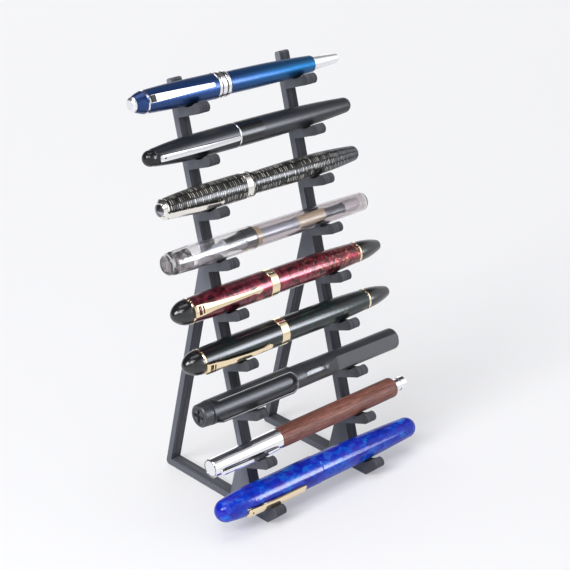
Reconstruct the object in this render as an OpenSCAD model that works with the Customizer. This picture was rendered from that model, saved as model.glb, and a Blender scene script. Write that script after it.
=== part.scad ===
// Pen display stand: two slim A-shaped side frames, each with nine hooked cradles on a leaning
// post, and nine capped fountain pens laid across them.
// Millimetres, +Z up, front towards -Y, origin on the table under the middle of the whole.
// Along a pen, lengths are measured from the middle of the left frame's cradle.

/* [Stand] */
// Distance between neighbouring cradles along the post
pitch = 26; // [25:0.5:32]
// Backward lean of the post in degrees
lean = 15; // [13:0.5:17]
// Forward lean of the rear leg and of the front gusset in degrees
leg_lean = 14.5; // [12:0.5:17]
// Distance between the two frames, middle to middle
frame_gap = 70.7; // [64:0.1:76]
// Thickness of each frame along the pens
frame_t = 6.6; // [5:0.2:9]
// Depth of the post from front to rear
post_d = 3.9; // [3:0.1:5]
// Depth of the rear leg from front to rear
leg_d = 3.4; // [3:0.1:5]
// Height of the bar that lies on the table
base_h = 3.8; // [3:0.1:5]
// Length of the base from the toe to the rear corner
base_len = 83; // [76:1:95]
// Distance from the toe to the foot of the post
toe = 9.1; // [7:0.1:12]
// Distance from the toe to the gusset's foot on the base
gusset_foot = 29.3; // [24:0.1:36]
// Height of the post above the corner of the top cradle
post_over = 19.5; // [17:0.5:24]
// Radius of the post's top corners
post_round = 1.4; // [0.5:0.1:1.6]
// Radius of the arch at the top of the frame's opening
arch_r = 6.5; // [4:0.5:8]
// Radius of the rear corner on the table
heel_r = 2; // [1:0.5:3]

/* [Cradles] */
// Radius of a cradle's hollow
cradle_r = 11.2; // [10.6:0.1:12]
// Distance of the hollow's centre in front of the post
cradle_out = 8.9; // [8.7:0.1:9.6]
// Height of the hollow's centre above the cradle's corner
cradle_up = 16.2; // [15.8:0.1:17]
// Radius of the hook's round nose
nose_r = 2.7; // [2.2:0.1:2.8]
// Angle of the hollow's front end, where the nose begins, in degrees
nose_at = 27.5; // [24:0.5:30]
// Room between a resting pen and its cradle
seat_gap = 0.35; // [0.3:0.05:0.5]

/* [Pen fits] */
// Clearance round a pen's neck inside its cap
cap_fit = 0.15; // [0.1:0.05:0.3]
// Clearance between glued or pressed pieces of one pen
press_gap = 0.05; // [0.05:0.01:0.1]
// Length of the neck that the cap slides over
neck_len = 7; // [5:0.5:9]
// Length of the grip in front of the neck
grip_len = 16; // [12:0.5:18]
// Length of the nib in front of the grip
nib_len = 15; // [11:0.5:17]
// Free room in the cap past the tip of the nib
nib_room = 5.5; // [5:0.1:7]
// Outer radius of the rolled nib
nib_r = 2.7; // [2.4:0.1:2.8]
// Thickness of the nib's sheet
nib_t = 0.35; // [0.3:0.05:0.45]
// Space between a clip and its cap
clip_lift = 0.9; // [0.7:0.05:1.1]
// Thickness of a clip
clip_t = 0.8; // [0.6:0.05:1]

/* [Blue lacquer pen] */
// Reach of the cap past the left cradle
blue_tip = 35.7; // [34:0.1:38]
// Distance of the cap's lip
blue_lip = 22.8; // [20:0.1:26]
// Distance of the far end
blue_end = 99; // [96:0.1:104]
// Length of the metal finial
blue_finial = 2.1; // [1.6:0.1:3]
// Length of the lacquered crown under the finial
blue_crown = 4.9; // [4:0.1:6]
// Radius of the cap at the clip's ring
blue_top_r = 5.6; // [5.3:0.05:5.8]
// Radius of the cap at the left cradle
blue_cap_r = 6.4; // [6.3:0.05:6.6]
// Length of the cap band
blue_band = 8.2; // [6:0.1:9]
// How far the cap band stands out
blue_band_out = 0.2; // [0.1:0.05:0.25]
// Radius of the cap's bore
blue_bore = 5.05; // [4.9:0.05:5.2]
// Radius of the barrel near the cap
blue_barrel_r = 5.65; // [5.5:0.05:5.8]
// Radius of the barrel at the right cradle
blue_far_r = 4.85; // [4.6:0.05:5.1]
// Length of the metal barrel end
blue_tail = 18.8; // [16:0.1:21]

/* [Satin black pen] */
// Reach of the cap past the left cradle
black_tip = 34.1; // [32:0.1:37]
// Distance of the cap's lip
black_lip = 22.7; // [20:0.1:26]
// Distance of the far end
black_end = 101.7; // [98:0.1:106]
// Radius of the cap's round tip
black_tip_r = 4; // [3.7:0.05:4.3]
// Radius of the cap at the left cradle
black_cap_r = 6.15; // [6.05:0.05:6.3]
// Radius of the cap at its lip
black_lip_r = 6.3; // [6.2:0.05:6.35]
// Width of the lip ring
black_ring = 1; // [0.8:0.1:1.5]
// Radius of the cap's bore
black_bore = 5.35; // [5.2:0.05:5.5]
// Length of the polished collar of the barrel
black_collar = 15.1; // [12:0.1:18]
// Radius of the barrel at the right cradle
black_far_r = 5.6; // [5.4:0.05:5.9]

/* [Striped pen] */
// Reach of the cap past the left cradle
stripe_tip = 32.5; // [31:0.1:36]
// Distance of the cap's lip
stripe_lip = 26.2; // [23:0.1:29]
// Distance of the far end
stripe_end = 100.8; // [97:0.1:106]
// Length of the jewel on the cap
stripe_jewel = 1.7; // [1:0.1:2.4]
// Radius of the jewel
stripe_jewel_r = 3.1; // [2.6:0.05:3.3]
// Length of the metal bushing under the jewel
stripe_bush = 2.3; // [1.6:0.1:3]
// Radius of the cap where it meets the bushing
stripe_top_r = 5.1; // [4.8:0.05:5.4]
// Radius of the cap at the left cradle
stripe_cap_r = 6.7; // [6.6:0.05:6.85]
// Width of the cap band
stripe_band = 4; // [3:0.1:5]
// Length of the cap below the band
stripe_rim = 2.2; // [1.6:0.1:3]
// Radius of the cap's bore
stripe_bore = 5.3; // [5.1:0.05:5.4]
// Radius of the barrel near the cap
stripe_barrel_r = 5.6; // [5.5:0.05:5.8]
// Radius of the barrel's swell
stripe_swell_r = 6.05; // [5.9:0.05:6.2]
// Radius of the barrel at the right cradle
stripe_far_r = 5.9; // [5.7:0.05:6.1]
// Radius of the barrel where its round end begins
stripe_end_r = 4.1; // [3.8:0.05:4.4]

/* [Clear pen] */
// Reach of the cap past the left cradle
clear_tip = 33.5; // [32:0.1:36]
// Distance of the cap's lip
clear_lip = 20.9; // [19:0.1:23]
// Distance of the far end
clear_end = 101; // [99:0.1:105]
// Radius of the cap's flat top
clear_top_r = 4.4; // [4:0.05:4.8]
// Radius of the cap
clear_cap_r = 6.2; // [6.1:0.05:6.4]
// Radius of the cap's bore
clear_bore = 5.3; // [5.2:0.05:5.35]
// Length of the dark inner cap
clear_seal = 10; // [8:0.1:11]
// Radius of the barrel near the cap
clear_barrel_r = 5.85; // [5.75:0.05:6]
// Radius of the barrel at the right cradle
clear_far_r = 5.6; // [5.5:0.05:5.7]
// Wall of the clear barrel
clear_wall = 0.95; // [0.8:0.05:1.1]

/* [Red and green pens] */
// Reach of the cap past the left cradle
gold_tip = 36; // [35:0.1:38]
// Shift of the green pen along its cradles
green_shift = 0.7; // [0:0.1:1.5]
// Distance of the cap's lip
gold_lip = 28.8; // [26:0.1:31]
// Distance of the far end
gold_end = 106.2; // [102:0.1:108]
// Length of the black cap end
gold_dome = 9.1; // [8:0.1:10]
// Radius of the cap at its top ring
gold_top_r = 6.4; // [6.2:0.05:6.6]
// Radius of the cap at the left cradle
gold_cap_r = 7.1; // [7:0.05:7.2]
// Width of the cap band
gold_band = 5.5; // [4:0.1:7]
// How far the cap band stands out
gold_band_out = 0.12; // [0.1:0.02:0.2]
// Width of the top ring and of the tail ring
gold_ring = 1.3; // [1:0.1:1.6]
// Radius of the cap's bore
gold_bore = 5.9; // [5.7:0.05:6]
// Radius of the barrel near the cap
gold_barrel_r = 6.65; // [6.5:0.05:6.75]
// Radius of the barrel at the right cradle
gold_far_r = 6.35; // [6.2:0.05:6.5]
// Length of the black tail
gold_tail = 17.8; // [15:0.1:18.5]

/* [Grey school pen] */
// Reach of the cap past the left cradle
grey_tip = 31.8; // [30:0.1:34]
// Distance of the cap's lip
grey_lip = 29; // [27:0.1:31]
// Distance of the far end
grey_end = 104.7; // [102:0.1:107]
// Radius of the cap's flat top
grey_top_r = 5.9; // [5.6:0.05:6.1]
// Radius of the cap at the left cradle
grey_cap_r = 6.75; // [6.7:0.05:6.85]
// Radius of the cap's rim
grey_rim_r = 6.95; // [6.85:0.05:7]
// Radius of the cap's bore
grey_bore = 5.7; // [5.5:0.05:5.8]
// Radius of the barrel near the cap
grey_barrel_r = 6.2; // [6.1:0.05:6.3]
// Radius of the barrel at the right cradle
grey_far_r = 5.95; // [5.85:0.05:6.05]
// Distance of the barrel's flats from its axis
grey_flat = 4.7; // [4.5:0.05:5.5]
// Radius of the clip's wire
grey_wire = 0.8; // [0.6:0.05:0.9]
// Half the width of the clip's loop, between wire centres
grey_loop = 5.2; // [4.4:0.1:5.4]
// Length of the clip's loop
grey_clip = 51; // [48:0.5:52]
// Length of the ink window
grey_window = 13; // [9:0.5:15]
// Width of the ink window
grey_window_w = 2.8; // [2:0.1:3.4]

/* [Wood pen] */
// Reach of the cap past the left cradle
wood_tip = 30.8; // [29:0.1:34]
// Distance of the cap's lip
wood_lip = 13.9; // [12:0.1:16]
// Distance of the far end
wood_end = 106.4; // [103:0.1:108]
// Radius of the cap's flat end
wood_top_r = 4.85; // [4.6:0.05:5]
// Radius of the cap at the left cradle
wood_cap_r = 5.3; // [5.2:0.05:5.4]
// Radius of the cap at its lip
wood_lip_r = 5.45; // [5.4:0.05:5.5]
// Radius of the cap's bore
wood_bore = 4.45; // [4.3:0.05:4.6]
// Radius of the wooden barrel
wood_barrel_r = 5.6; // [5.5:0.05:5.75]
// Length of the metal barrel end
wood_tail = 8.5; // [6:0.1:11]
// Radius of the metal barrel end
wood_tail_r = 3.7; // [3.4:0.05:4]
// Length of the grip
wood_grip = 13; // [10:0.5:14]
// Length of the nib
wood_nib = 12; // [10:0.5:13]

/* [Marbled blue pen] */
// Reach of the cap past the left cradle
marble_tip = 32.8; // [31:0.1:35]
// Distance of the cap's lip
marble_lip = 34.1; // [32:0.1:37]
// Distance of the far end
marble_end = 108; // [104:0.1:109]
// Radius of the cap's round tip
marble_top_r = 6; // [5.2:0.05:6.3]
// Radius of the cap at the left cradle
marble_cap_r = 7.5; // [7.4:0.05:7.55]
// Radius of the cap at its lip
marble_lip_r = 7.65; // [7.6:0.05:7.7]
// Radius of the cap's bore
marble_bore = 6.1; // [5.9:0.05:6.3]
// Radius of the barrel near the cap
marble_barrel_r = 7.4; // [7.2:0.05:7.55]
// Radius of the barrel at the right cradle
marble_far_r = 6.9; // [6.7:0.05:7.1]

/* [Hidden] */
$fn = 72;
cradles = 9;
far_size = 400;

// Positions of the clips round the pens, in degrees above straight ahead
blue_turn = 25;
black_turn = 6;
stripe_turn = -14;
clear_turn = 12;
red_turn = 17;
green_turn = -12;
grey_turn = 24;
wood_turn = -13;
marble_turn = -15;

// A point of the frame: u in front of the post's face, v up along it
function loc(u, v) = [toe - u * cos(lean) + v * sin(lean), u * sin(lean) + v * cos(lean)];

// Depth by which round pieces run into straight ones, and ends into what hides them
weld = 0.03;
sunk = 4;

nose_u = cradle_out + (cradle_r + nose_r - weld) * sin(nose_at);
nose_v = cradle_up - (cradle_r + nose_r - weld) * cos(nose_at);
nose_far = norm([nose_u, nose_v]);
under_at = atan2(nose_v, nose_u) - asin((nose_r - weld) / nose_far);
under_len = nose_far * cos(asin((nose_r - weld) / nose_far));

// The lowest nose runs straight down to the toe
toe_nose = loc(nose_u, nose_v);
toe_far = norm(toe_nose);
toe_at = atan2(toe_nose[1], toe_nose[0]) + asin((nose_r - weld) / toe_far);
toe_len = toe_far * cos(asin((nose_r - weld) / toe_far));

front_y = toe_nose[0] - nose_r;
mid_y = (front_y + base_len) / 2;
post_len = (cradles - 1) * pitch + post_over;

// The frame's straight edges meet at these heights and places
post_back = toe + post_d / cos(lean);
leg_front = base_len - leg_d / cos(leg_lean);
spread = tan(lean) + tan(leg_lean);
apex_z = (base_len - post_back) / spread + post_d / 2;
gusset_z = (gusset_foot + base_h * tan(leg_lean) - post_back) / spread + post_d / 2;
arch_z = (leg_front - arch_r / cos(leg_lean) - post_back - arch_r / cos(lean)) / spread;
arch_y = post_back + arch_r / cos(lean) + arch_z * tan(lean);
heel_y = base_len - heel_r / tan(45 - leg_lean / 2);

// Middle of a pen of radius r at rest on cradle n, counted from the top
function seat(n, r) = loc(
    cradle_out - (cradle_r - r - seat_gap) * sin(lean),
    (cradles - n) * pitch + cradle_up - (cradle_r - r - seat_gap) * cos(lean)
);

// Points of a rounded corner of the post
function post_corner(u, from) = [
    for (a = [from : 15 : from + 90])
        loc(u + post_round * cos(a), post_len + post_round * (sin(a) - 1))
];

// Flat piece as thick as the frame, or a cutter that sticks out on both sides
module slab(out = 0) {
    translate([0, 0, -out]) linear_extrude(frame_t + 2 * out) children();
}

// One hook: underside, round nose and hollow
module hook(v0) {
    difference() {
        union() {
            slab() polygon([
                loc(-cos(under_at), v0 - sin(under_at)),
                loc(under_len * cos(under_at), v0 + under_len * sin(under_at)),
                loc(nose_u, v0 + nose_v),
                loc(cradle_out, v0 + cradle_up),
                loc(-post_d / 2, v0 + cradle_up),
                loc(-post_d / 2, v0)
            ]);
            slab() translate(loc(nose_u, v0 + nose_v)) circle(nose_r);
        }
        slab(1) translate(loc(cradle_out, v0 + cradle_up)) circle(cradle_r);
    }
}

module post() {
    slab() polygon(concat(
        [loc(0, -sunk)],
        post_corner(-post_round, 0),
        post_corner(post_round - post_d, 90),
        [loc(-post_d, -sunk)]
    ));
}

// Solid triangle of base, leg, gusset and toe, before the opening is cut
module triangle() {
    slab() polygon(concat(
        [[-sunk * cos(toe_at), -sunk * sin(toe_at)], [heel_y, -sunk]],
        [for (a = [-80 : 15 : leg_lean]) [heel_y + heel_r * cos(a), heel_r * (1 + sin(a))]],
        [
            [heel_y + heel_r * cos(leg_lean), heel_r * (1 + sin(leg_lean))],
            [base_len - apex_z * tan(leg_lean), apex_z],
            loc(-post_d / 2, pitch),
            loc(-post_d / 2, sunk),
            toe_nose,
            [toe_len * cos(toe_at), toe_len * sin(toe_at)]
        ]
    ));
}

module opening() {
    inside = arch_r + post_d / 2;
    edge = arch_r - weld;
    slab(1) polygon([
        [gusset_foot, base_h],
        [gusset_foot - (gusset_z - base_h) * tan(leg_lean), gusset_z],
        [arch_y - inside * cos(lean), arch_z + inside * sin(lean)],
        [arch_y, arch_z],
        [arch_y + edge * cos(leg_lean), arch_z + edge * sin(leg_lean)],
        [leg_front - base_h * tan(leg_lean), base_h]
    ]);
    slab(1) translate([arch_y - weld, arch_z]) circle(arch_r);
}

module frame(x) {
    translate([x - frame_t / 2, -mid_y, 0])
        rotate([90, 0, 90])
        intersection() {
            union() {
                post();
                for (k = [0 : cradles - 1]) hook(k * pitch);
                difference() {
                    triangle();
                    opening();
                }
            }
            slab(1) translate([-far_size / 2, 0]) square(far_size);
        }
}

// Lays a pen on cradle n with radius r_near on the left cradle and r_far on the right one
module laid(n, r_near, r_far) {
    near = seat(n, r_near);
    far = seat(n, r_far);
    translate([-frame_gap / 2, near[0] - mid_y, near[1]])
        rotate([0, atan2(near[1] - far[1], frame_gap), 0])
        children();
}

module lathe() {
    rotate([0, 90, 0])
        rotate_extrude()
        intersection() {
            children();
            translate([0, -far_size / 2]) square(far_size);
        }
}

arc_steps = 10;

// Radius of the arc that leaves the pen's direction and falls by d over len
function bow_r(len, d) = (len * len + d * d) / (2 * d);

// Points of an arc of radius big, from left to right, which has the radius r at s and curves inwards
// over len, to the right (way 1) or to the left (way -1)
function arc(r, s, len, big, way) = [
    for (i = [0 : arc_steps]) let (x = len * (way > 0 ? i : arc_steps - i) / arc_steps)
        [r - big + sqrt(big * big - x * x), s + way * x]
];

function bow(r, s, len, d, way) = arc(r, s, len, bow_r(len, d), way);

// Barrel from s to its end on an arc with the radii r at s and r_far at the right cradle
function taper(r, s, r_far, end) = arc(r, s, end - s, bow_r(frame_gap - s, r - r_far), 1);
function taper_r(r, s, r_far, end) = taper(r, s, r_far, end)[arc_steps][0];

// Flat end with a quarter round, or a full round end where len equals r
module round_end(r, s, len) {
    translate([r - len, s]) circle(len);
    translate([0, s]) square([r - len, len]);
}

// Bullet-shaped end with a round tip
module blunt_end(r, s, len, tip, way) {
    big = (r * r + (len - tip) * (len - tip) - tip * tip) / (2 * (r - tip));
    join = (len - tip) * big / (big - tip);
    polygon(concat(
        arc(r, s, join, big, way),
        way > 0 ? [[0, s + join], [0, s]] : [[0, s], [0, s - join]]
    ));
    translate([0, s + way * (len - tip)]) circle(tip);
}

module bore(r, from, to) {
    translate([from, 0, 0]) rotate([0, 90, 0]) cylinder(r = r, h = to - from);
}

// Stepped hollow of a cap: wide over neck and grip, narrow round the nib
module cap_hollow(lip, r_wide, r_narrow, grip, nib) {
    step = lip - neck_len - grip - 1;
    bore(r_wide, step, lip + 1);
    bore(r_narrow, lip - neck_len - grip - nib - nib_room, step + 1);
}

// Faces the clip side of a pen to the given angle above straight ahead
module facing(turn) {
    rotate([90 - turn, 0, 0]) children();
}

grip_lip = 0.35;
feed_tip_r = 0.9;
feed_fin = 0.45;
feed_step = 1.2;
nib_root = 2;

// Grip with the finned feed that carries the nib
module grip(face, len, r_back, r_front, nib, turn) {
    front = face - len;
    feed_len = nib * 0.72;
    feed_r = nib_r - nib_t - 0.15;
    lathe() polygon([
        [0, front],
        [r_front, front],
        [r_front + grip_lip, front + 0.8],
        [r_front + grip_lip, front + 1.8],
        [r_front, front + 4],
        [r_back, face],
        [0, face]
    ]);
    facing(turn) difference() {
        intersection() {
            translate([front - feed_len, 0, 0])
                rotate([0, 90, 0])
                cylinder(r1 = feed_tip_r, r2 = feed_r, h = feed_len + 0.5);
            translate([front - feed_len - 1, -2 * feed_r, -2 * feed_r])
                cube([feed_len + 2, 4 * feed_r, 2.25 * feed_r]);
        }
        for (i = [1 : 4])
            translate([front - i * feed_step, -feed_r, -2 * feed_r])
                cube([feed_fin, 2 * feed_r, 1.5 * feed_r]);
    }
}

// Rolled sheet nib with shoulders, breather hole, slit and tipping, and a root inside the grip
module nib(front, len, turn, root = 0) {
    tip = front - len;
    facing(turn) difference() {
        union() {
            intersection() {
                difference() {
                    bore(nib_r, tip, front + root);
                    bore(nib_r - nib_t, tip - 1, front + root + 1);
                }
                linear_extrude(2 * nib_r) polygon([
                    [front + root, -nib_r + 0.15],
                    [front - 0.4 * len, -nib_r + 0.15],
                    [front - 0.62 * len, -0.6 * nib_r],
                    [tip, -0.35],
                    [tip, 0.35],
                    [front - 0.62 * len, 0.6 * nib_r],
                    [front - 0.4 * len, nib_r - 0.15],
                    [front + root, nib_r - 0.15]
                ]);
            }
            translate([tip, 0, nib_r - nib_t / 2]) sphere(0.5);
        }
        translate([front - 0.45 * len, 0, 0]) cylinder(r = 0.55, h = 2 * nib_r);
        translate([tip - 1, -0.1, 0]) cube([0.55 * len + 1, 0.2, 2 * nib_r]);
    }
}

clip_corner = 0.5;
clip_wide = 5;

// Outline of a clip seen from above, from its root to its tip
function clip_plan(from, to, w_root, w_tip) = [
    [from, clip_corner - w_root / 2], [from + clip_corner, -w_root / 2],
    [from + clip_wide, -w_root / 2], [to - 1, -w_tip / 2], [to, -w_tip / 4],
    [to, w_tip / 4], [to - 1, w_tip / 2], [from + clip_wide, w_root / 2],
    [from + clip_corner, w_root / 2], [from, w_root / 2 - clip_corner]
];

clip_root = 1.6;
tip_gap = 0.4;

// Section of a clip along the pen: root sunk to r_in, then following the cap's radii
function clip_side(from, to, root, r_in, r_from, r_seat, r_to) = [
    [r_in, from],
    [r_from + clip_lift + clip_t / 2, from],
    [r_from + clip_lift + clip_t, from + 1.2],
    [r_seat + clip_lift + clip_t, 0],
    [r_to + tip_gap + clip_t, to - 1],
    [r_to + tip_gap + clip_t / 2, to],
    [r_to + tip_gap, to - 0.4],
    [r_seat + clip_lift, -1],
    [r_from + clip_lift, from + root + 1],
    [r_from + clip_lift / 2, from + root],
    [r_in, from + root]
];

module clip_strip(turn, side, plan) {
    facing(turn) intersection() {
        lathe() polygon(side);
        linear_extrude(far_size / 8) polygon(plan);
    }
}

// Slot that takes a clip's root in the wall of a cap
module clip_slot(turn, from, w, r_in, r_out) {
    facing(turn)
        translate([from - press_gap, -w / 2 - press_gap, r_in - 1])
        cube([clip_root + 2 * press_gap, w + 2 * press_gap, r_out - r_in + 2]);
}

// Blue lacquer pen

blue_crown_r = 3.9;
blue_core_r = 4.6;
blue_ring = 0.9;
blue_under = 0.65;
blue_crown_at = blue_finial - blue_tip;
blue_ring_at = blue_crown_at + blue_crown;
blue_cap_at = blue_ring_at + blue_ring;
blue_band_at = blue_lip - blue_band;
blue_neck = blue_lip - neck_len;
blue_grip_r = blue_bore - 0.6;
blue_clip_end = 11.7;
blue_narrow = 3.9;
blue_tail_tip = 2.5;
blue_tail_at = blue_end - blue_tail;
blue_straight = 14;
blue_taper_at = blue_lip + blue_straight;
blue_tail_r = taper_r(blue_barrel_r, blue_taper_at, blue_far_r, blue_tail_at);

module blue_laid() {
    laid(1, blue_cap_r, blue_far_r) children();
}

module blue_pen_finial() {
    color("gainsboro") blue_laid() lathe() polygon([
        [0, -blue_tip],
        [blue_crown_r - 1.6, -blue_tip],
        [blue_crown_r - 1.1, 0.25 - blue_tip],
        [blue_crown_r - 0.35, 0.9 - blue_tip],
        [blue_crown_r - 0.1, blue_crown_at - 0.45],
        [blue_crown_r - 0.6, blue_crown_at - 0.35],
        [blue_crown_r - 0.6, blue_crown_at],
        [0, blue_crown_at]
    ]);
}

module blue_pen_clip() {
    color("silver") blue_laid() {
        lathe() translate([blue_core_r + press_gap, blue_ring_at])
            square([blue_top_r + 0.2 - blue_core_r, blue_ring]);
        clip_strip(
            blue_turn,
            clip_side(blue_ring_at, blue_clip_end, blue_ring, blue_core_r + 0.3,
                blue_top_r, blue_cap_r, blue_cap_r),
            clip_plan(blue_ring_at, blue_clip_end, 3.8, 2)
        );
    }
}

module blue_pen_cap() {
    color("navy") blue_laid() difference() {
        lathe() polygon(concat(
            [
                [0, blue_crown_at],
                [blue_crown_r, blue_crown_at],
                [(blue_crown_r + blue_top_r) / 2 + 0.1, blue_crown_at + blue_crown / 2],
                [blue_top_r - 0.1, blue_ring_at],
                [blue_core_r, blue_ring_at],
                [blue_core_r, blue_cap_at]
            ],
            bow(blue_cap_r, 0, -blue_cap_at, blue_cap_r - blue_top_r, -1),
            [
                [blue_cap_r, blue_band_at],
                [blue_cap_r - blue_under, blue_band_at],
                [blue_cap_r - blue_under, blue_lip],
                [0, blue_lip]
            ]
        ));
        cap_hollow(blue_lip, blue_bore, blue_narrow, grip_len, nib_len);
    }
}

module blue_pen_cap_band() {
    color("gainsboro") blue_laid() lathe() polygon([
        [blue_cap_r - blue_under + press_gap, blue_band_at],
        [blue_cap_r, blue_band_at],
        [blue_cap_r + blue_band_out, blue_band_at + 0.4],
        [blue_cap_r + blue_band_out, blue_band_at + 0.18 * blue_band],
        [blue_cap_r - 0.1, blue_band_at + 0.22 * blue_band],
        [blue_cap_r - 0.1, blue_band_at + 0.26 * blue_band],
        [blue_cap_r + blue_band_out, blue_band_at + 0.3 * blue_band],
        [blue_cap_r + blue_band_out, blue_band_at + 0.56 * blue_band],
        [blue_cap_r - 0.2, blue_band_at + 0.6 * blue_band],
        [blue_cap_r - 0.2, blue_band_at + 0.67 * blue_band],
        [blue_cap_r + blue_band_out / 2, blue_band_at + 0.7 * blue_band],
        [blue_cap_r + blue_band_out / 2, blue_lip - 0.9],
        [blue_cap_r - 0.3, blue_lip],
        [blue_cap_r - blue_under + press_gap, blue_lip]
    ]);
}

module blue_pen_barrel() {
    color("mediumblue") blue_laid() lathe() polygon(concat(
        [
            [0, blue_neck],
            [blue_bore - cap_fit, blue_neck],
            [blue_bore - cap_fit, blue_lip],
            [blue_barrel_r - 0.1, blue_lip],
            [blue_barrel_r, blue_lip + 6]
        ],
        taper(blue_barrel_r, blue_taper_at, blue_far_r, blue_tail_at),
        [[0, blue_tail_at]]
    ));
}

module blue_pen_barrel_end() {
    color("gainsboro") blue_laid() lathe() polygon([
        [0, blue_tail_at],
        [blue_tail_r - 0.25, blue_tail_at],
        [blue_tail_r - 0.25, blue_tail_at + 0.7],
        [blue_tail_r - 0.7, blue_tail_at + 1],
        [blue_tail_tip, blue_end - 0.8],
        [blue_tail_tip - 0.6, blue_end],
        [0, blue_end]
    ]);
}

module blue_pen_grip() {
    color("dimgray") blue_laid()
        grip(blue_neck, grip_len, blue_grip_r, blue_grip_r - 0.8, nib_len, blue_turn);
}

module blue_pen_nib() {
    color("gold") blue_laid() nib(blue_neck - grip_len, nib_len, blue_turn);
}

// Satin black pen

black_groove = 1.4;
black_cap_at = black_tip_r - black_tip;
black_neck = black_lip - neck_len;
black_grip_r = black_bore - 0.6;
black_clip_at = -28;
black_clip_in = 3.4;
black_clip_w = 3.2;
black_clip_hole = 0.5;
black_clip_end = 21;
black_narrow = 3.7;
black_round = 4.1;
black_taper_at = black_lip + black_collar + 0.1;
black_barrel_r = black_lip_r - 0.05;
black_round_at = black_end - black_round;
black_end_r = taper_r(black_barrel_r, black_taper_at, black_far_r, black_round_at);
black_shoulder_at = black_cap_at + black_groove + 0.2;

module black_laid() {
    laid(2, black_cap_r, black_far_r) children();
}

module black_pen_clip() {
    color("silver") black_laid() difference() {
        clip_strip(
            black_turn,
            clip_side(black_clip_at, black_clip_end, clip_root, black_clip_in,
                black_tip_r + 0.5, black_cap_r, black_lip_r),
            clip_plan(black_clip_at, black_clip_end, black_clip_w, 2.2)
        );
        facing(black_turn)
            translate([black_clip_at + clip_root + 2 * black_clip_hole, 0, 0])
            cylinder(r = black_clip_hole, h = 2 * black_cap_r);
    }
}

module black_pen_cap() {
    color("black") black_laid() difference() {
        lathe() {
            translate([0, black_cap_at]) circle(black_tip_r);
            polygon(concat(
                [
                    [0, black_cap_at],
                    [black_tip_r, black_cap_at],
                    [black_tip_r, black_cap_at + black_groove]
                ],
                bow(black_cap_r, 0, -black_shoulder_at, black_cap_r - black_tip_r - 0.3, -1),
                [[black_lip_r, black_lip - black_ring], [0, black_lip - black_ring]]
            ));
        }
        cap_hollow(black_lip, black_bore, black_narrow, grip_len, nib_len);
        clip_slot(black_turn, black_clip_at, black_clip_w, black_clip_in, black_tip_r + 1);
    }
}

module black_pen_cap_ring() {
    color("gainsboro") black_laid() lathe() polygon([
        [black_bore, black_lip - black_ring],
        [black_lip_r, black_lip - black_ring],
        [black_lip_r + 0.08, black_lip - 0.7 * black_ring],
        [black_lip_r + 0.08, black_lip - 0.3 * black_ring],
        [black_lip_r - 0.05, black_lip],
        [black_bore, black_lip]
    ]);
}

module black_pen_barrel() {
    color("darkslategray") black_laid() lathe() {
        polygon(concat(
            [
                [0, black_neck],
                [black_bore - cap_fit, black_neck],
                [black_bore - cap_fit, black_lip],
                [black_lip_r - 0.05, black_lip],
                [black_lip_r, black_lip + 1],
                [black_lip_r, black_lip + black_collar]
            ],
            taper(black_barrel_r, black_taper_at, black_far_r, black_round_at),
            [[0, black_round_at]]
        ));
        translate([0, black_round_at]) circle(black_end_r);
    }
}

module black_pen_grip() {
    color("black") black_laid()
        grip(black_neck, grip_len, black_grip_r, black_grip_r - 0.8, nib_len, black_turn);
}

module black_pen_nib() {
    color("silver") black_laid() nib(black_neck - grip_len, nib_len, black_turn);
}

// Striped celluloid pen

stripe_bush_at = stripe_jewel - stripe_tip;
stripe_cap_at = stripe_bush_at + stripe_bush;
stripe_under = 0.6;
stripe_band_out = 0.1;
stripe_band_end = stripe_lip - stripe_rim;
stripe_band_at = stripe_band_end - stripe_band;
stripe_neck = stripe_lip - neck_len;
stripe_grip_r = stripe_bore - 0.6;
stripe_clip_end = 4.4;
stripe_narrow = 3.9;
stripe_rise = 26;
stripe_mid = stripe_lip + stripe_rise;
stripe_drop_at = frame_gap - 6;
stripe_round = 3;
stripe_round_at = stripe_end - stripe_round;

module stripe_laid() {
    laid(3, stripe_cap_r, stripe_far_r) children();
}

module striped_pen_jewel() {
    color("black") stripe_laid() lathe() {
        polygon([
            [0, stripe_bush_at - 0.3],
            [stripe_jewel_r, stripe_bush_at - 0.3],
            [stripe_jewel_r, stripe_bush_at],
            [0, stripe_bush_at]
        ]);
        polygon([
            [0, 0.1 - stripe_tip],
            [0.9, 0.25 - stripe_tip],
            [stripe_jewel_r - 0.15, stripe_bush_at - 0.3],
            [0, stripe_bush_at - 0.3]
        ]);
    }
}

module striped_pen_clip() {
    color("silver") stripe_laid() {
        lathe() polygon([
            [0, stripe_bush_at],
            [stripe_jewel_r + 0.5, stripe_bush_at],
            [stripe_jewel_r + 0.8, stripe_bush_at + 0.5],
            [stripe_top_r - 0.3, stripe_cap_at - 0.7],
            [stripe_top_r + 0.1, stripe_cap_at - 0.5],
            [stripe_top_r + 0.1, stripe_cap_at],
            [0, stripe_cap_at]
        ]);
        clip_strip(
            stripe_turn,
            clip_side(stripe_cap_at - 1, stripe_clip_end, 1, stripe_top_r - 1,
                stripe_top_r, stripe_cap_r, stripe_cap_r),
            clip_plan(stripe_cap_at - 1, stripe_clip_end, 3.4, 2)
        );
    }
}

module striped_pen_cap() {
    color("darkolivegreen") stripe_laid() difference() {
        lathe() polygon(concat(
            [[0, stripe_cap_at]],
            bow(stripe_cap_r, 0, -stripe_cap_at, stripe_cap_r - stripe_top_r, -1),
            [
                [stripe_cap_r, stripe_band_at],
                [stripe_cap_r - stripe_under, stripe_band_at],
                [stripe_cap_r - stripe_under, stripe_band_end],
                [stripe_cap_r, stripe_band_end],
                [stripe_cap_r - 0.1, stripe_lip - 0.5],
                [stripe_cap_r - 0.6, stripe_lip],
                [0, stripe_lip]
            ]
        ));
        cap_hollow(stripe_lip, stripe_bore, stripe_narrow, grip_len, nib_len);
    }
}

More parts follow.
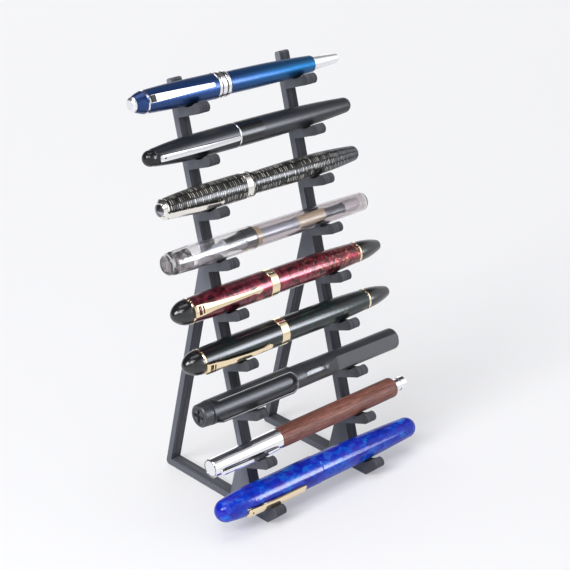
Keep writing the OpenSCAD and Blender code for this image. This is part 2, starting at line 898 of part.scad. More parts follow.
module striped_pen_cap_band() {
    color("gainsboro") stripe_laid() lathe() polygon([
        [stripe_cap_r - stripe_under + press_gap, stripe_band_at],
        [stripe_cap_r, stripe_band_at],
        [stripe_cap_r + stripe_band_out, stripe_band_at + 0.3],
        [stripe_cap_r + stripe_band_out, stripe_band_end - 0.3],
        [stripe_cap_r, stripe_band_end],
        [stripe_cap_r - stripe_under + press_gap, stripe_band_end]
    ]);
}

module striped_pen_barrel() {
    color("olive") stripe_laid() lathe() {
        polygon(concat(
            [
                [0, stripe_neck],
                [stripe_bore - cap_fit, stripe_neck],
                [stripe_bore - cap_fit, stripe_lip],
                [stripe_barrel_r - 0.1, stripe_lip],
                [stripe_barrel_r + 0.05, stripe_lip + 7],
                [stripe_swell_r, stripe_mid]
            ],
            bow(stripe_far_r, stripe_drop_at, stripe_round_at - stripe_drop_at,
                stripe_far_r - stripe_end_r, 1),
            [[0, stripe_round_at]]
        ));
        round_end(stripe_end_r, stripe_round_at, stripe_round);
    }
}

module striped_pen_grip() {
    color("black") stripe_laid()
        grip(stripe_neck, grip_len, stripe_grip_r, stripe_grip_r - 0.8, nib_len, stripe_turn);
}

module striped_pen_nib() {
    color("gold") stripe_laid() nib(stripe_neck - grip_len, nib_len, stripe_turn);
}

// Clear pen

clear_shoulder = 4;
clear_top_wall = 3;
clear_hollow_at = clear_top_wall - clear_tip;
clear_seal_wall = 1.1;
clear_seal_gap = 0.15;
clear_neck_len = 6.5;
clear_neck = clear_lip - clear_neck_len;
clear_grip = 13;
clear_nib = 13;
clear_clip_at = 2.2 - clear_tip;
clear_clip_end = 12.9;
clear_floor = 1.6;
clear_end_len = 3.4;
clear_plug_at = 51;
clear_collar = 4;
clear_collar_end = 0.6;
clear_rod_r = 2.6;
clear_plug_r = 3.1;
clear_plug = 19;
clear_head_at = 33;
clear_head = 9;
clear_stop = 2;
clear_inner_r = clear_barrel_r - clear_wall;

module clear_laid() {
    laid(4, clear_cap_r, clear_far_r) children();
}

module clear_pen_cap() {
    color("lightgray", 0.5) clear_laid() {
        difference() {
            lathe() polygon([
                [0, 0.4 - clear_tip],
                [clear_top_r - 0.8, 0.4 - clear_tip],
                [clear_top_r - 0.6, -clear_tip],
                [clear_top_r, -clear_tip],
                [clear_top_r + 0.7, 0.8 - clear_tip],
                [clear_cap_r - 0.35, clear_shoulder - clear_tip],
                [clear_cap_r, 4 * clear_shoulder - clear_tip],
                [clear_cap_r, clear_lip - 0.4],
                [clear_cap_r - 0.3, clear_lip],
                [0, clear_lip]
            ]);
            bore(clear_bore, clear_hollow_at, clear_lip + 1);
        }
        clip_strip(
            clear_turn,
            clip_side(clear_clip_at, clear_clip_end, 4, clear_bore + 0.2,
                clear_top_r + 1, clear_cap_r, clear_cap_r),
            clip_plan(clear_clip_at, clear_clip_end, 5, 3.6)
        );
    }
}

module clear_pen_inner_cap() {
    color("dimgray") clear_laid() difference() {
        lathe() polygon([
            [0, clear_hollow_at],
            [clear_bore - clear_seal_gap, clear_hollow_at],
            [clear_bore - clear_seal_gap, clear_hollow_at + 2],
            [clear_bore - 0.5, clear_hollow_at + 2.4],
            [clear_bore - 0.5, clear_hollow_at + clear_seal - 1.5],
            [clear_bore - clear_seal_gap, clear_hollow_at + clear_seal - 1.2],
            [clear_bore - clear_seal_gap, clear_hollow_at + clear_seal],
            [0, clear_hollow_at + clear_seal]
        ]);
        bore(clear_bore - 0.5 - clear_seal_wall, clear_hollow_at + 1.5, 0);
    }
}

module clear_pen_nib_unit() {
    color("dimgray") clear_laid() {
        lathe() polygon([
            [0, clear_neck],
            [clear_bore - cap_fit, clear_neck],
            [clear_bore - cap_fit, clear_lip + 0.2],
            [0, clear_lip + 0.2]
        ]);
        grip(clear_neck, clear_grip, clear_bore - 0.8, 3.3, clear_nib, clear_turn);
        nib(clear_neck - clear_grip, clear_nib, clear_turn, nib_root);
    }
}

module clear_pen_cartridge() {
    color("bisque") clear_laid() lathe() polygon([
        [0, clear_lip + 0.2],
        [clear_inner_r - 0.2, clear_lip + 0.2],
        [clear_inner_r - 0.2, clear_lip + clear_collar],
        [clear_rod_r, clear_lip + clear_collar + clear_collar_end],
        [clear_rod_r, clear_plug_at],
        [clear_plug_r, clear_plug_at + 0.3],
        [clear_plug_r, clear_plug_at + clear_plug],
        [clear_rod_r - 0.1, clear_plug_at + clear_plug + 0.4],
        [clear_rod_r - 0.1, clear_plug_at + clear_head_at],
        [clear_plug_r, clear_plug_at + clear_head_at + 0.3],
        [clear_plug_r, clear_plug_at + clear_head_at + clear_head],
        [clear_rod_r, clear_plug_at + clear_head_at + clear_head + clear_stop],
        [0, clear_plug_at + clear_head_at + clear_head + clear_stop]
    ]);
}

module clear_pen_barrel() {
    color("lightgray", 0.5) clear_laid() difference() {
        lathe() {
            polygon([
                [0, clear_lip + 0.2],
                [clear_barrel_r, clear_lip + 0.2],
                [clear_far_r, frame_gap],
                [clear_far_r - 0.6, clear_end - clear_end_len],
                [0, clear_end - clear_end_len]
            ]);
            round_end(clear_far_r - 0.6, clear_end - clear_end_len, clear_end_len);
        }
        lathe() polygon([
            [0, clear_lip - 1],
            [clear_inner_r, clear_lip - 1],
            [clear_far_r - clear_wall, frame_gap],
            [clear_far_r - 0.6 - clear_wall, clear_end - clear_end_len],
            [clear_far_r - 0.6 - 2 * clear_wall, clear_end - clear_floor],
            [0, clear_end - clear_floor]
        ]);
    }
}

// Red and green marbled pens with gold trim, one model in two colours

gold_ring_at = gold_dome - gold_tip;
gold_cap_at = gold_ring_at + gold_ring;
gold_band_at = gold_lip - gold_band;
gold_under = 0.65;
gold_ring_out = 0.2;
gold_neck = gold_lip - neck_len;
gold_grip_r = gold_bore - 0.7;
gold_clip_end = 16.5;
gold_drop = 10;
gold_narrow = 4.4;
gold_tail_at = gold_end - gold_tail;
gold_tail_ring_at = gold_tail_at - gold_ring;
gold_tail_tip = 3.2;
gold_dome_tip = 4.2;
gold_straight = 25;
gold_taper_at = gold_lip + gold_straight;
gold_clip_wide = 5;
gold_clip_waist = 12;
gold_tail_r = taper_r(gold_barrel_r, gold_taper_at, gold_far_r, gold_tail_ring_at);

module red_laid() {
    laid(5, gold_cap_r, gold_far_r) children();
}

module green_laid() {
    laid(6, gold_cap_r, gold_far_r) translate([green_shift, 0, 0]) children();
}

module gold_cap_end() {
    lathe() blunt_end(gold_top_r, gold_ring_at, gold_dome, gold_dome_tip, -1);
}

// Clip with its ring, two slots at the root and a drop-shaped end
module gold_clip(turn) {
    wide_at = gold_ring_at + gold_clip_wide;
    waist_at = gold_ring_at + gold_clip_waist;
    plan = [
        [gold_ring_at, -3], [wide_at, -2.8], [waist_at, -2],
        [0, -1.4], [gold_drop, -1.1], [gold_drop + 3.5, -1.8], [gold_clip_end, -0.5],
        [gold_clip_end, 0.5], [gold_drop + 3.5, 1.8], [gold_drop, 1.1],
        [0, 1.4], [waist_at, 2], [wide_at, 2.8], [gold_ring_at, 3]
    ];
    difference() {
        union() {
            lathe() polygon([
                [gold_narrow, gold_ring_at],
                [gold_top_r, gold_ring_at],
                [gold_top_r + gold_ring_out, gold_ring_at + 0.3],
                [gold_top_r + gold_ring_out, gold_cap_at - 0.3],
                [gold_top_r, gold_cap_at],
                [gold_narrow, gold_cap_at]
            ]);
            clip_strip(
                turn,
                clip_side(gold_ring_at, gold_clip_end, gold_ring, gold_top_r - 1,
                    gold_top_r, gold_cap_r, gold_cap_r),
                plan
            );
        }
        facing(turn) for (i = [0, 1])
            translate([gold_cap_at + 0.6 + 2.5 * i, i / 4 - 2.2, gold_top_r + clip_lift / 2])
                cube([1.8 - 0.9 * i, 4.4 - i / 2, 4]);
    }
}

module gold_cap() {
    difference() {
        lathe() polygon([
            [0, gold_cap_at],
            [gold_top_r, gold_cap_at],
            [(gold_top_r + gold_cap_r) / 2 + 0.1, gold_cap_at / 2],
            [gold_cap_r, 0],
            [gold_cap_r, gold_band_at],
            [gold_cap_r - gold_under, gold_band_at],
            [gold_cap_r - gold_under, gold_lip],
            [0, gold_lip]
        ]);
        cap_hollow(gold_lip, gold_bore, gold_narrow, grip_len, nib_len);
    }
}

module gold_cap_band() {
    lathe() polygon([
        [gold_cap_r - gold_under + press_gap, gold_band_at],
        [gold_cap_r, gold_band_at],
        [gold_cap_r + gold_band_out, gold_band_at + 0.4],
        [gold_cap_r + gold_band_out, gold_lip - 0.6],
        [gold_cap_r - 0.2, gold_lip],
        [gold_cap_r - gold_under + press_gap, gold_lip]
    ]);
}

module gold_barrel() {
    lathe() polygon(concat(
        [
            [0, gold_neck],
            [gold_bore - cap_fit, gold_neck],
            [gold_bore - cap_fit, gold_lip],
            [gold_barrel_r - 0.05, gold_lip],
            [gold_barrel_r, gold_lip + 4]
        ],
        taper(gold_barrel_r, gold_taper_at, gold_far_r, gold_tail_ring_at),
        [[0, gold_tail_ring_at]]
    ));
}

module gold_tail_ring() {
    lathe() polygon([
        [0, gold_tail_ring_at],
        [gold_tail_r, gold_tail_ring_at],
        [gold_tail_r + gold_ring_out, gold_tail_ring_at + 0.3],
        [gold_tail_r + gold_ring_out, gold_tail_at - 0.3],
        [gold_tail_r, gold_tail_at],
        [0, gold_tail_at]
    ]);
}

module gold_tail() {
    lathe() blunt_end(gold_tail_r, gold_tail_at, gold_tail, gold_tail_tip, 1);
}

module gold_nib_unit(turn) {
    grip(gold_neck, grip_len, gold_grip_r, gold_grip_r - 1, nib_len, turn);
    nib(gold_neck - grip_len, nib_len, turn, nib_root);
}

module red_pen_cap_end() {
    color("black") red_laid() gold_cap_end();
}

module red_pen_clip() {
    color("gold") red_laid() gold_clip(red_turn);
}

module red_pen_cap() {
    color("darkred") red_laid() gold_cap();
}

module red_pen_cap_band() {
    color("gold") red_laid() gold_cap_band();
}

module red_pen_barrel() {
    color("firebrick") red_laid() gold_barrel();
}

module red_pen_tail_ring() {
    color("gold") red_laid() gold_tail_ring();
}

module red_pen_tail() {
    color("black") red_laid() gold_tail();
}

module red_pen_nib_unit() {
    color("goldenrod") red_laid() gold_nib_unit(red_turn);
}

module green_pen_cap_end() {
    color("black") green_laid() gold_cap_end();
}

module green_pen_clip() {
    color("gold") green_laid() gold_clip(green_turn);
}

module green_pen_cap() {
    color("darkgreen") green_laid() gold_cap();
}

module green_pen_cap_band() {
    color("gold") green_laid() gold_cap_band();
}

module green_pen_barrel() {
    color("darkgreen") green_laid() gold_barrel();
}

module green_pen_tail_ring() {
    color("gold") green_laid() gold_tail_ring();
}

module green_pen_tail() {
    color("black") green_laid() gold_tail();
}

module green_pen_nib_unit() {
    color("goldenrod") green_laid() gold_nib_unit(green_turn);
}

// Grey school pen with a wire loop clip

grey_crown = 5.6;
grey_groove_at = grey_crown - grey_tip;
grey_rim = 1.7;
grey_neck = grey_lip - neck_len;
grey_grip_r = grey_bore - 0.7;
grey_narrow = 4.2;
grey_cross = 1.7;
grey_cross_len = 7;
grey_disc_r = 3.9;
grey_disc_gap = 0.4;
grey_ramp = 9;
grey_wire_up = grey_cap_r + grey_wire + 0.4;
grey_foot_at = grey_groove_at + 2.4;
grey_foot_in = 3.9;
grey_loop_end = grey_foot_at + grey_clip - grey_loop;
grey_socket_gap = 0.1;
grey_window_at = 36;
grey_flat_at = grey_window_at + grey_window + 1;
grey_round = 1.8;

module grey_laid() {
    laid(7, grey_cap_r, grey_far_r) children();
}

module grey_pen_clip() {
    color("dimgray") grey_laid() facing(grey_turn) {
        for (side = [-1, 1]) translate([0, side * grey_loop, 0]) {
            translate([grey_foot_at, 0, grey_wire_up])
                rotate([0, 90, 0])
                cylinder(r = grey_wire, h = grey_loop_end - grey_foot_at);
            translate([grey_foot_at, 0, grey_wire_up]) sphere(grey_wire);
            translate([grey_foot_at, 0, grey_foot_in])
                cylinder(r = grey_wire, h = grey_wire_up - grey_foot_in);
        }
        translate([grey_loop_end, 0, grey_wire_up])
            rotate([0, 0, -90])
            rotate_extrude(angle = 180)
            translate([grey_loop, 0]) circle(grey_wire);
    }
}

module grey_pen_cap() {
    color("gray") grey_laid() difference() {
        lathe() polygon([
            [0, -grey_tip],
            [grey_disc_r, -grey_tip],
            [grey_disc_r, grey_disc_gap - grey_tip],
            [grey_disc_r + grey_disc_gap, grey_disc_gap - grey_tip],
            [grey_disc_r + grey_disc_gap, -grey_tip],
            [grey_top_r - 0.6, -grey_tip],
            [grey_top_r, 0.5 - grey_tip],
            [grey_top_r + 0.3, grey_groove_at - 0.8],
            [grey_top_r - 0.2, grey_groove_at - 0.5],
            [grey_top_r - 0.2, grey_groove_at],
            [grey_top_r + 0.5, grey_groove_at + 0.3],
            [grey_cap_r, 0],
            [grey_cap_r, grey_lip - grey_rim],
            [grey_rim_r, grey_lip - grey_rim + 0.2],
            [grey_rim_r, grey_lip - 0.3],
            [grey_rim_r - 0.3, grey_lip],
            [0, grey_lip]
        ]);
        cap_hollow(grey_lip, grey_bore, grey_narrow, grip_len, nib_len);
        facing(grey_turn) for (side = [-1, 1])
            translate([grey_foot_at, side * grey_loop, grey_foot_in - grey_socket_gap])
                cylinder(r = grey_wire + grey_socket_gap, h = grey_cap_r);
        for (spin = [0, 90])
            rotate([spin, 0, 0])
                translate([-1 - grey_tip, -grey_cross / 2, -grey_cross_len / 2])
                cube([2.2, grey_cross, grey_cross_len]);
    }
}

module grey_pen_barrel() {
    color("darkgray") grey_laid() difference() {
        lathe() {
            polygon([
                [0, grey_neck],
                [grey_bore - cap_fit, grey_neck],
                [grey_bore - cap_fit, grey_lip],
                [grey_barrel_r + 0.05, grey_lip],
                [grey_barrel_r, grey_lip + 2],
                [grey_far_r, frame_gap],
                [grey_far_r - 0.05, grey_end - grey_round],
                [0, grey_end - grey_round]
            ]);
            round_end(grey_far_r - 0.05, grey_end - grey_round, grey_round);
        }
        facing(grey_turn - 10) for (side = [0, 180])
            rotate([side, 0, 0])
                translate([0, grey_barrel_r, 0])
                rotate([90, 0, 0])
                linear_extrude(2 * grey_barrel_r) polygon([
                    [grey_flat_at, grey_barrel_r],
                    [grey_flat_at + grey_ramp, grey_flat],
                    [grey_end + 1, grey_flat],
                    [grey_end + 1, grey_barrel_r + 1],
                    [grey_flat_at, grey_barrel_r + 1]
                ]);
        facing(grey_turn + 2)
            translate([grey_window_at + grey_window_w / 2, 0, grey_barrel_r - 1.6]) {
                cylinder(r = grey_window_w / 2, h = 4);
                translate([grey_window - grey_window_w, 0, 0])
                    cylinder(r = grey_window_w / 2, h = 4);
                translate([0, -grey_window_w / 2, 0])
                    cube([grey_window - grey_window_w, grey_window_w, 4]);
            }
    }
}

module grey_pen_grip() {
    color("gray") grey_laid()
        grip(grey_neck, grip_len, grey_grip_r, grey_grip_r - 1, nib_len, grey_turn);
}

module grey_pen_nib() {
    color("dimgray") grey_laid() nib(grey_neck - grip_len, nib_len, grey_turn);
}

// Wood pen with a polished metal cap

wood_neck = wood_lip - neck_len;
wood_grip_r = wood_bore - 0.45;
wood_narrow = 3.45;
wood_clip_at = 3.2 - wood_tip;
wood_clip_in = 3.9;
wood_clip_end = 10.6;
wood_tail_at = wood_end - wood_tail;
wood_round = 1.6;

module wood_laid() {
    laid(8, wood_cap_r, wood_barrel_r) children();
}

module wood_pen_clip() {
    color("silver") wood_laid() clip_strip(
        wood_turn,
        clip_side(wood_clip_at, wood_clip_end, clip_root, wood_clip_in,
            wood_top_r, wood_cap_r, wood_lip_r),
        clip_plan(wood_clip_at, wood_clip_end, 2.8, 2)
    );
}

module wood_pen_cap() {
    color("whitesmoke") wood_laid() difference() {
        lathe() polygon([
            [0, 0.1 - wood_tip],
            [wood_top_r - 1.2, 0.1 - wood_tip],
            [wood_top_r - 1.2, 0.5 - wood_tip],
            [wood_top_r - 0.85, 0.5 - wood_tip],
            [wood_top_r - 0.85, -wood_tip],
            [wood_top_r - 0.3, -wood_tip],
            [wood_top_r, 0.3 - wood_tip],
            [wood_cap_r, 0],
            [wood_lip_r, wood_lip - 0.3],
            [wood_lip_r - 0.2, wood_lip],
            [0, wood_lip]
        ]);
        cap_hollow(wood_lip, wood_bore, wood_narrow, wood_grip, wood_nib);
        clip_slot(wood_turn, wood_clip_at, 2.8, wood_clip_in, wood_cap_r);
    }
}

module wood_pen_barrel() {
    color("saddlebrown") wood_laid() lathe() {
        polygon([
            [0, wood_neck],
            [wood_bore - cap_fit, wood_neck],
            [wood_bore - cap_fit, wood_lip],
            [wood_barrel_r - 0.15, wood_lip],
            [wood_barrel_r, wood_lip + 6],
            [wood_barrel_r, frame_gap],
            [wood_barrel_r - 0.05, wood_tail_at - wood_round],
            [0, wood_tail_at - wood_round]
        ]);
        round_end(wood_barrel_r - 0.05, wood_tail_at - wood_round, wood_round);
    }
}

module wood_pen_barrel_end() {
    color("gainsboro") wood_laid() lathe() polygon([
        [0, wood_tail_at],
        [wood_tail_r - 0.3, wood_tail_at],
        [wood_tail_r - 0.3, wood_tail_at + 0.5 * wood_tail],
        [wood_tail_r, wood_tail_at + 0.5 * wood_tail + 0.2],
        [wood_tail_r, wood_end - 0.5],
        [wood_tail_r - 0.5, wood_end],
        [0, wood_end]
    ]);
}

module wood_pen_grip() {
    color("dimgray") wood_laid()
        grip(wood_neck, wood_grip, wood_grip_r, wood_grip_r - 0.6, wood_nib, wood_turn);
}

module wood_pen_nib() {
    color("silver") wood_laid() nib(wood_neck - wood_grip, wood_nib, wood_turn);
}

// Marbled blue pen

marble_cap_at = -6;
marble_neck = marble_lip - neck_len;
marble_grip_r = marble_bore - 0.8;
marble_narrow = 4.4;
marble_clip_at = -18.4;
marble_clip_in = 5.4;
marble_clip_end = 20.8;
marble_clip_w = 4.8;
marble_round = 5.6;
marble_taper_at = marble_lip + 0.4;
marble_round_at = marble_end - marble_round;
marble_end_r = taper_r(marble_barrel_r, marble_taper_at, marble_far_r, marble_round_at);

module marble_laid() {
    laid(9, marble_cap_r, marble_far_r) children();
}

module marbled_pen_clip() {
    color("gold") marble_laid() difference() {
        clip_strip(
            marble_turn,
            clip_side(marble_clip_at, marble_clip_end, clip_root, marble_clip_in,
                marble_cap_r - 0.5, marble_cap_r, marble_lip_r),
            clip_plan(marble_clip_at, marble_clip_end, marble_clip_w, 4.2)
        );
        facing(marble_turn)
            translate([marble_clip_at + 2.6, 0, 0]) cylinder(r = 0.6, h = 2 * marble_cap_r);
    }
}

module marbled_pen_cap() {
    color("royalblue") marble_laid() difference() {
        lathe() {
            blunt_end(marble_cap_r, marble_cap_at, marble_tip + marble_cap_at, marble_top_r, -1);
            polygon([
                [0, marble_cap_at],
                [marble_cap_r, marble_cap_at],
                [marble_cap_r, 0],
                [marble_lip_r, marble_lip - 10],
                [marble_lip_r, marble_lip - 0.4],
                [marble_lip_r - 0.4, marble_lip],
                [0, marble_lip]
            ]);
        }
        cap_hollow(marble_lip, marble_bore, marble_narrow, grip_len, nib_len);
        clip_slot(marble_turn, marble_clip_at, marble_clip_w, marble_clip_in, marble_cap_r);
    }
}

module marbled_pen_barrel() {
    color("blue") marble_laid() lathe() {
        polygon(concat(
            [
                [0, marble_neck],
                [marble_bore - cap_fit, marble_neck],
                [marble_bore - cap_fit, marble_lip],
                [marble_barrel_r - 0.3, marble_lip]
            ],
            taper(marble_barrel_r, marble_taper_at, marble_far_r, marble_round_at),
            [[0, marble_round_at]]
        ));
        translate([0, marble_round_at]) circle(marble_end_r);
    }
}

module marbled_pen_grip() {
    color("midnightblue") marble_laid()
        grip(marble_neck, grip_len, marble_grip_r, marble_grip_r - 1, nib_len, marble_turn);
}

module marbled_pen_nib() {
    color("gold") marble_laid() nib(marble_neck - grip_len, nib_len, marble_turn);
}

module left_frame() {
    color("dimgray") frame(-frame_gap / 2);
}

module right_frame() {
    color("dimgray") frame(frame_gap / 2);
}

left_frame();
right_frame();
blue_pen_finial();
blue_pen_clip();
blue_pen_cap();
blue_pen_cap_band();
blue_pen_barrel();
blue_pen_barrel_end();
blue_pen_grip();
blue_pen_nib();
black_pen_clip();
black_pen_cap();
black_pen_cap_ring();
black_pen_barrel();
black_pen_grip();
black_pen_nib();
striped_pen_jewel();
striped_pen_clip();
striped_pen_cap();
striped_pen_cap_band();
striped_pen_barrel();
striped_pen_grip();
striped_pen_nib();
clear_pen_cap();
clear_pen_inner_cap();
clear_pen_nib_unit();
clear_pen_cartridge();
clear_pen_barrel();
red_pen_cap_end();
red_pen_clip();
red_pen_cap();
red_pen_cap_band();
red_pen_barrel();
red_pen_tail_ring();
red_pen_tail();
red_pen_nib_unit();
green_pen_cap_end();
green_pen_clip();
green_pen_cap();
green_pen_cap_band();
green_pen_barrel();
green_pen_tail_ring();
green_pen_tail();
green_pen_nib_unit();
grey_pen_clip();
grey_pen_cap();
grey_pen_barrel();
grey_pen_grip();
grey_pen_nib();
wood_pen_clip();
wood_pen_cap();
wood_pen_barrel();
wood_pen_barrel_end();
wood_pen_grip();
wood_pen_nib();
marbled_pen_clip();
marbled_pen_cap();
marbled_pen_barrel();
marbled_pen_grip();
marbled_pen_nib();
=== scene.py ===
import math

import bpy
from mathutils import Matrix, Vector


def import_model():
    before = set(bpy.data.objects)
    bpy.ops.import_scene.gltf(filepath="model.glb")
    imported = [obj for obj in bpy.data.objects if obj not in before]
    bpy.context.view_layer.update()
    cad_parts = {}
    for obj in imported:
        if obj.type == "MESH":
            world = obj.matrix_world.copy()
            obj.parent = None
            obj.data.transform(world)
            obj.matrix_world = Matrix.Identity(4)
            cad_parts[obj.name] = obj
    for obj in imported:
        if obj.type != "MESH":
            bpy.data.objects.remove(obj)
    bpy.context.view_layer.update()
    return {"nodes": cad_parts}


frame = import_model()
nodes = frame["nodes"]
scene = bpy.context.scene
MM = 0.001

# Sizes of the stand that place the pens, in millimetres
PITCH = 26.0
LEAN = math.radians(15.0)
FRAME_GAP = 70.7
TOE = 9.1
BASE_LEN = 83.0
CRADLES = 9
CRADLE_R = 11.2
CRADLE_OUT = 8.9
CRADLE_UP = 16.2
NOSE_R = 2.7
NOSE_AT = math.radians(27.5)
NOSE_WELD = 0.03
SEAT_GAP = 0.35

# Pens: place from the top, radius on the left cradle and on the right one, shift to the right
PENS = {
    "blue": (1, 6.4, 4.85, 0.0),
    "black": (2, 6.15, 5.6, 0.0),
    "striped": (3, 6.7, 5.9, 0.0),
    "clear": (4, 6.2, 5.6, 0.0),
    "red": (5, 7.1, 6.35, 0.0),
    "green": (6, 7.1, 6.35, 0.7),
    "grey": (7, 6.75, 5.95, 0.0),
    "wood": (8, 5.3, 5.6, 0.0),
    "marbled": (9, 7.5, 6.9, 0.0),
}

# Metals: colour, duller colour of the haze, roughness
SILVER, SILVER_HAZE = (0.90, 0.90, 0.92), (0.82, 0.83, 0.85)
CHROME_HAZE = (0.82, 0.83, 0.86)
METALS = {
    "chrome": (SILVER, CHROME_HAZE, 0.10),
    "wood_cap_chrome": (SILVER, CHROME_HAZE, 0.10),
    "blue_clip_chrome": (SILVER, SILVER_HAZE, 0.14),
    "satin_silver": (SILVER, SILVER_HAZE, 0.30),
    "ridged_silver": (SILVER, SILVER_HAZE, 0.20),
    "pale_nickel": ((0.88, 0.84, 0.78), (0.80, 0.77, 0.72), 0.14),
    "gold": ((0.92, 0.77, 0.53), (0.86, 0.69, 0.44), 0.10),
    "nib_steel": ((0.68, 0.68, 0.70), (0.60, 0.60, 0.63), 0.14),
}
METAL_BLUR = 0.10

# Sockets of the colour mix node, which share their names with its other kinds
MIX_FACTOR, MIX_A, MIX_B, MIX_RESULT = 0, 6, 7, 2


def loc(u, v):
    """Y and Z in millimetres, from u out of the leaning post and v up along it."""
    return (
        TOE - u * math.cos(LEAN) + v * math.sin(LEAN),
        u * math.sin(LEAN) + v * math.cos(LEAN),
    )


def middle_y():
    """Middle of the frames' depth. The model is centred on it."""
    reach = CRADLE_R + NOSE_R - NOSE_WELD
    nose_y, _ = loc(
        CRADLE_OUT + reach * math.sin(NOSE_AT),
        CRADLE_UP - reach * math.cos(NOSE_AT),
    )
    return (nose_y - NOSE_R + BASE_LEN) / 2


def seat(place, radius):
    """Y and Z of a pen's axis in its cradle."""
    depth = CRADLE_R - radius - SEAT_GAP
    y, z = loc(
        CRADLE_OUT - depth * math.sin(LEAN),
        (CRADLES - place) * PITCH + CRADLE_UP - depth * math.cos(LEAN),
    )
    return y - middle_y(), z


def pen_place(pen):
    """Point on the pen's axis over the left cradle, and the pen's tilt."""
    place, left, right, shift = PENS[pen]
    y, z = seat(place, left)
    tilt = math.atan2(z - seat(place, right)[1], FRAME_GAP)
    return Vector((-FRAME_GAP / 2 + shift, y, z)) * MM, tilt


class Nodes:
    """Short ways to add nodes to a node tree."""

    def __init__(self, tree):
        self.tree = tree

    def put(self, socket, value):
        """Links a socket, or sets its value."""
        if isinstance(value, bpy.types.NodeSocket):
            self.tree.links.new(value, socket)
        elif socket.type == "RGBA":
            socket.default_value = (*value, 1.0)
        else:
            socket.default_value = value

    def node(self, kind, **props):
        made = self.tree.nodes.new(kind)
        for key, value in props.items():
            setattr(made, key, value)
        return made

    def math(self, op, a, b=0.0, c=0.0, clamp=False):
        made = self.node("ShaderNodeMath", operation=op, use_clamp=clamp)
        for socket, value in zip(made.inputs, (a, b, c)):
            self.put(socket, value)
        return made.outputs[0]

    def add(self, a, b, clamp=False):
        return self.math("ADD", a, b, clamp=clamp)

    def sub(self, a, b):
        return self.math("SUBTRACT", a, b)

    def mul(self, a, b):
        return self.math("MULTIPLY", a, b)

    def div(self, a, b, clamp=False):
        return self.math("DIVIDE", a, b, clamp=clamp)

    def flip(self, a):
        return self.sub(1.0, a)

    def above(self, a, limit):
        return self.math("GREATER_THAN", a, limit)

    def below(self, a, limit):
        return self.math("LESS_THAN", a, limit)

    def rise(self, value, low, span):
        """0 up to low, rising to 1 over the span, and 1 beyond."""
        return self.div(self.sub(value, low), span, clamp=True)

    def between(self, value, low, high, soft):
        """1 where value lies between low and high, with soft edges."""
        up = self.rise(value, low - soft / 2, soft)
        down = self.div(self.sub(high + soft / 2, value), soft, clamp=True)
        return self.mul(up, down)

    def split(self, vector):
        made = self.node("ShaderNodeSeparateXYZ")
        self.put(made.inputs[0], vector)
        return made.outputs

    def join(self, x, y=0.0, z=0.0):
        made = self.node("ShaderNodeCombineXYZ")
        for socket, value in zip(made.inputs, (x, y, z)):
            self.put(socket, value)
        return made.outputs[0]

    def ramp(self, factor, *stops, step="LINEAR"):
        made = self.node("ShaderNodeValToRGB")
        made.color_ramp.interpolation = step
        marks = made.color_ramp.elements
        while len(marks) < len(stops):
            marks.new(0.5)
        for mark, (at, colour) in zip(marks, stops):
            mark.position = at
            rgb = colour if isinstance(colour, tuple) else (colour, colour, colour)
            mark.color = (*rgb, 1.0)
        self.put(made.inputs[0], factor)
        return made.outputs[0]

    def mix(self, factor, a, b):
        made = self.node("ShaderNodeMix", data_type="RGBA")
        self.put(made.inputs[MIX_FACTOR], factor)
        self.put(made.inputs[MIX_A], a)
        self.put(made.inputs[MIX_B], b)
        return made.outputs[MIX_RESULT]

    def rate(self, factor, low, high):
        """Factor from 0 to 1, brought to the range from low to high."""
        made = self.node("ShaderNodeMapRange")
        self.put(made.inputs["Value"], factor)
        self.put(made.inputs["To Min"], low)
        self.put(made.inputs["To Max"], high)
        return made.outputs["Result"]

    def seen(self):
        """1 for rays that show a surface: the camera's, and those in gloss and clear pieces."""
        path = self.node("ShaderNodeLightPath").outputs
        through = self.math("MAXIMUM", path["Is Glossy Ray"], path["Is Transmission Ray"])
        return self.math("MAXIMUM", path["Is Camera Ray"], through)


